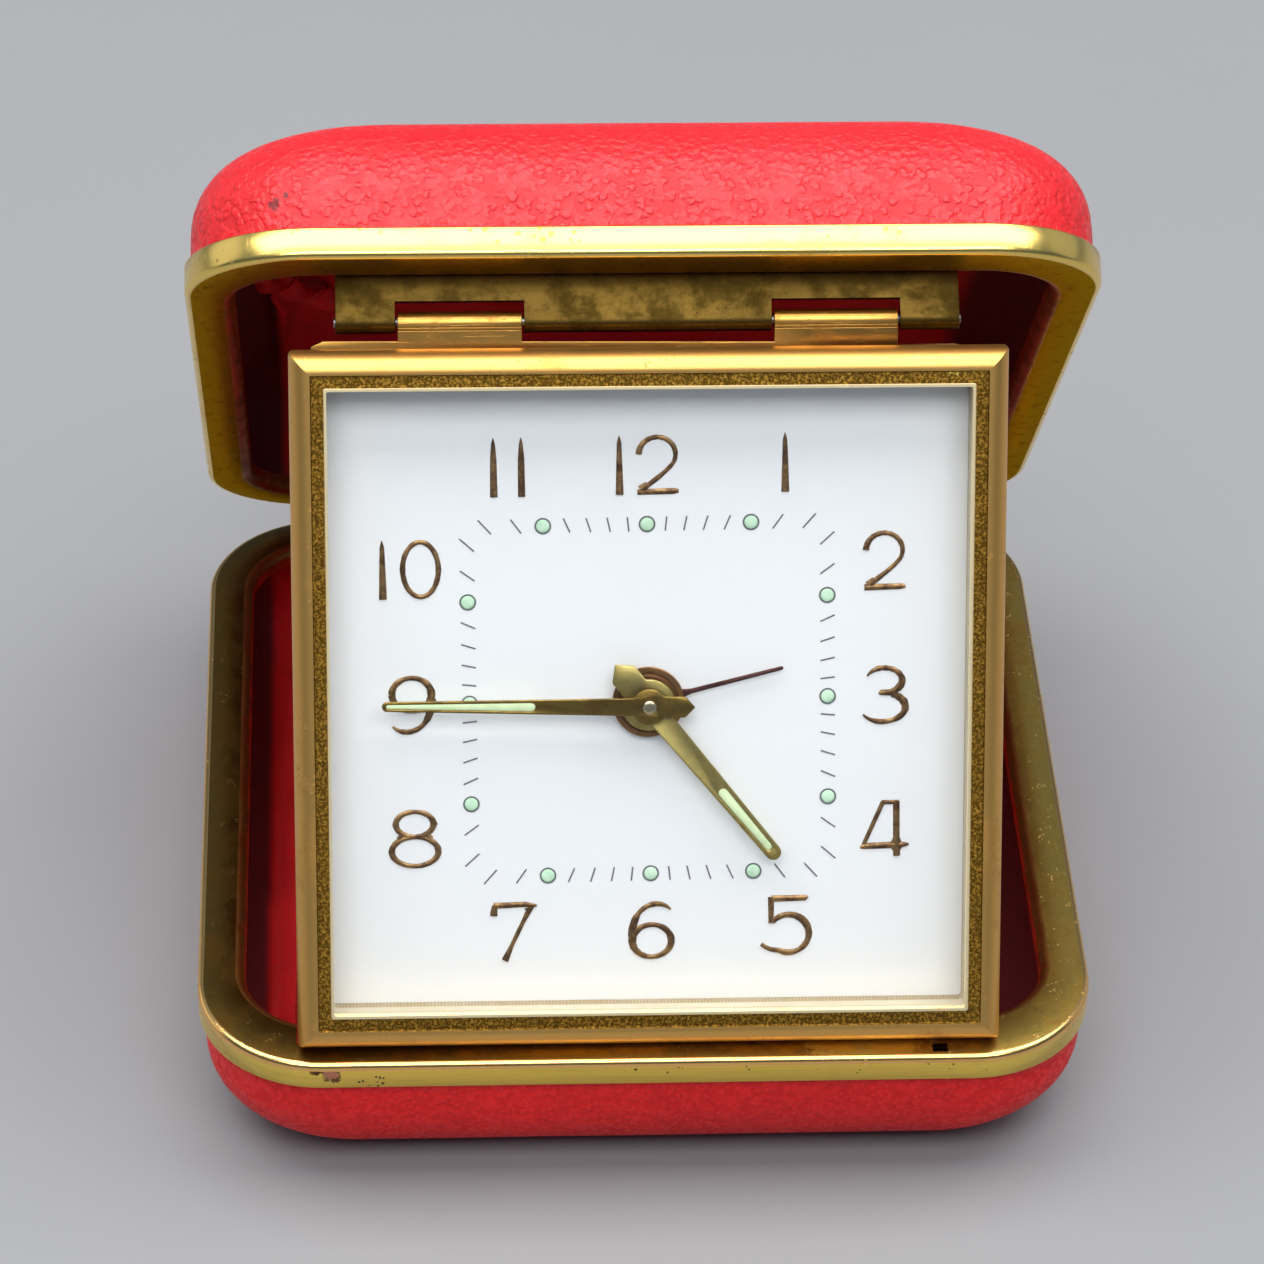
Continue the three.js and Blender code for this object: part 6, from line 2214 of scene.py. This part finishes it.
@dataclass
class Studio:
    """The floor, the lights and the camera.

    Attributes:
        camera_at: The camera's place.
        pitch: Its pitch in degrees.
        yaw: Its yaw in degrees.
        roll: Its roll in degrees.
        lens: Its focal length.
        sensor: Width of its sensor.
        sky_low: Colour of the light from the sides.
        sky_high: Colour of the light from above.
    """

    camera_at: Point = (-21.262, -356.061, 309.331)
    pitch: float = -38.107
    yaw: float = 3.384
    roll: float = 1.474
    lens: float = 149.69
    sensor: float = 36.0
    sky_low: tuple = (0.1, 0.14, 0.21, 1.0)
    sky_high: tuple = (0.32, 0.39, 0.5, 1.0)

    def build_floor(self) -> None:
        """Lays a wide plain floor under the clock."""
        mesh = bpy.data.meshes.new("floor")
        reach = 3.0
        corners = [(-reach, -reach, 0), (reach, -reach, 0), (reach, reach, 0), (-reach, reach, 0)]
        mesh.from_pydata(corners, [], [(0, 1, 2, 3)])
        mesh.materials.append(Finishes.floor.material())
        added("floor", mesh)

    def build_sky(self) -> None:
        """Surrounds the scene with soft light that is brighter overhead."""
        world = bpy.data.worlds.new("soft_sky")
        world.use_nodes = True
        canvas = Canvas(world.node_tree)
        way = canvas.add("ShaderNodeTexCoord").outputs["Generated"]
        colour = canvas.blend(canvas.span(canvas.part(way, "Z"), 0.42, 0.85), self.sky_low, self.sky_high)
        canvas.feed(world.node_tree.nodes["Background"].inputs["Color"], colour)
        bpy.context.scene.world = world

    def build_light(self, name: str, at: Point, aim: Point, size: Flat, power: float, colour: Point) -> None:
        """Hangs one soft rectangular light.

        Args:
            name: The light's name.
            at: Its place in metres.
            aim: The point that it faces, in metres.
            size: Its width and depth in metres.
            power: Its power in watts.
            colour: Its colour.
        """
        lamp = bpy.data.lights.new(name, "AREA")
        lamp.shape = "RECTANGLE"
        lamp.size, lamp.size_y = size
        lamp.energy = power
        lamp.color = colour
        obj = added(name, lamp)
        obj.location = at
        obj.rotation_euler = (Vector(aim) - Vector(at)).to_track_quat("-Z", "Y").to_euler()

    def build_camera(self) -> None:
        """Sets the camera at the photograph's viewing angle."""
        pitch, yaw, roll = (math.radians(a) for a in (self.pitch, self.yaw, self.roll))
        ahead = Vector((math.sin(yaw) * math.cos(pitch), math.cos(yaw) * math.cos(pitch), math.sin(pitch)))
        level = Vector((math.cos(yaw), -math.sin(yaw), 0))
        above = level.cross(ahead)
        right = level * math.cos(roll) + above * math.sin(roll)
        up = above * math.cos(roll) - level * math.sin(roll)
        turn = Matrix((right, up, -ahead)).transposed().to_4x4()
        data = bpy.data.cameras.new("camera")
        data.lens = self.lens
        data.sensor_width = self.sensor
        data.clip_start = 0.01
        data.clip_end = 20
        obj = added("camera", data)
        obj.matrix_world = Matrix.Translation(Vector(self.camera_at) * MM) @ turn
        bpy.context.scene.camera = obj

    def build(self) -> None:
        """Sets up the studio."""
        self.build_floor()
        self.build_sky()
        middle = (0.0, 0.0, 0.03)
        self.build_light("overhead", (0.0, 0.08, 0.95), middle, (1.7, 0.66), 16.2, (1.0, 0.985, 0.965))
        self.build_light("front_fill", (0.0, -0.62, 0.9), middle, (1.0, 0.4), 7.4, (0.985, 0.99, 1.0))
        self.build_light("left_card", (-1.0, 0.45, 0.4), middle, (0.9, 0.6), 1.2, (1.0, 0.98, 0.95))
        self.build_light("right_card", (1.0, 0.45, 0.4), middle, (0.9, 0.6), 0.6, (1.0, 0.98, 0.95))
        bpy.context.scene.view_settings.view_transform = "Standard"
        self.build_camera()


def main() -> None:
    """Builds the clock and its studio, and reports each step."""
    logging.basicConfig(level=logging.INFO, format="%(message)s")
    stance = Stance()
    stance.settle()
    CaseHalf(Part.BASE, stance.base).build()
    CaseHalf(Part.LID, stance.lid).build()
    up = tuple(stance.face.to_3x3() @ Vector((0, 1, 0)))
    BezelAndDial(stance.face, up).build()
    HandSet(stance.face).build()
    Hardware(stance.clock.translation, up).build()
    Studio().build()
    LOG.info("size boxes written")


if __name__ == "__main__":
    main()
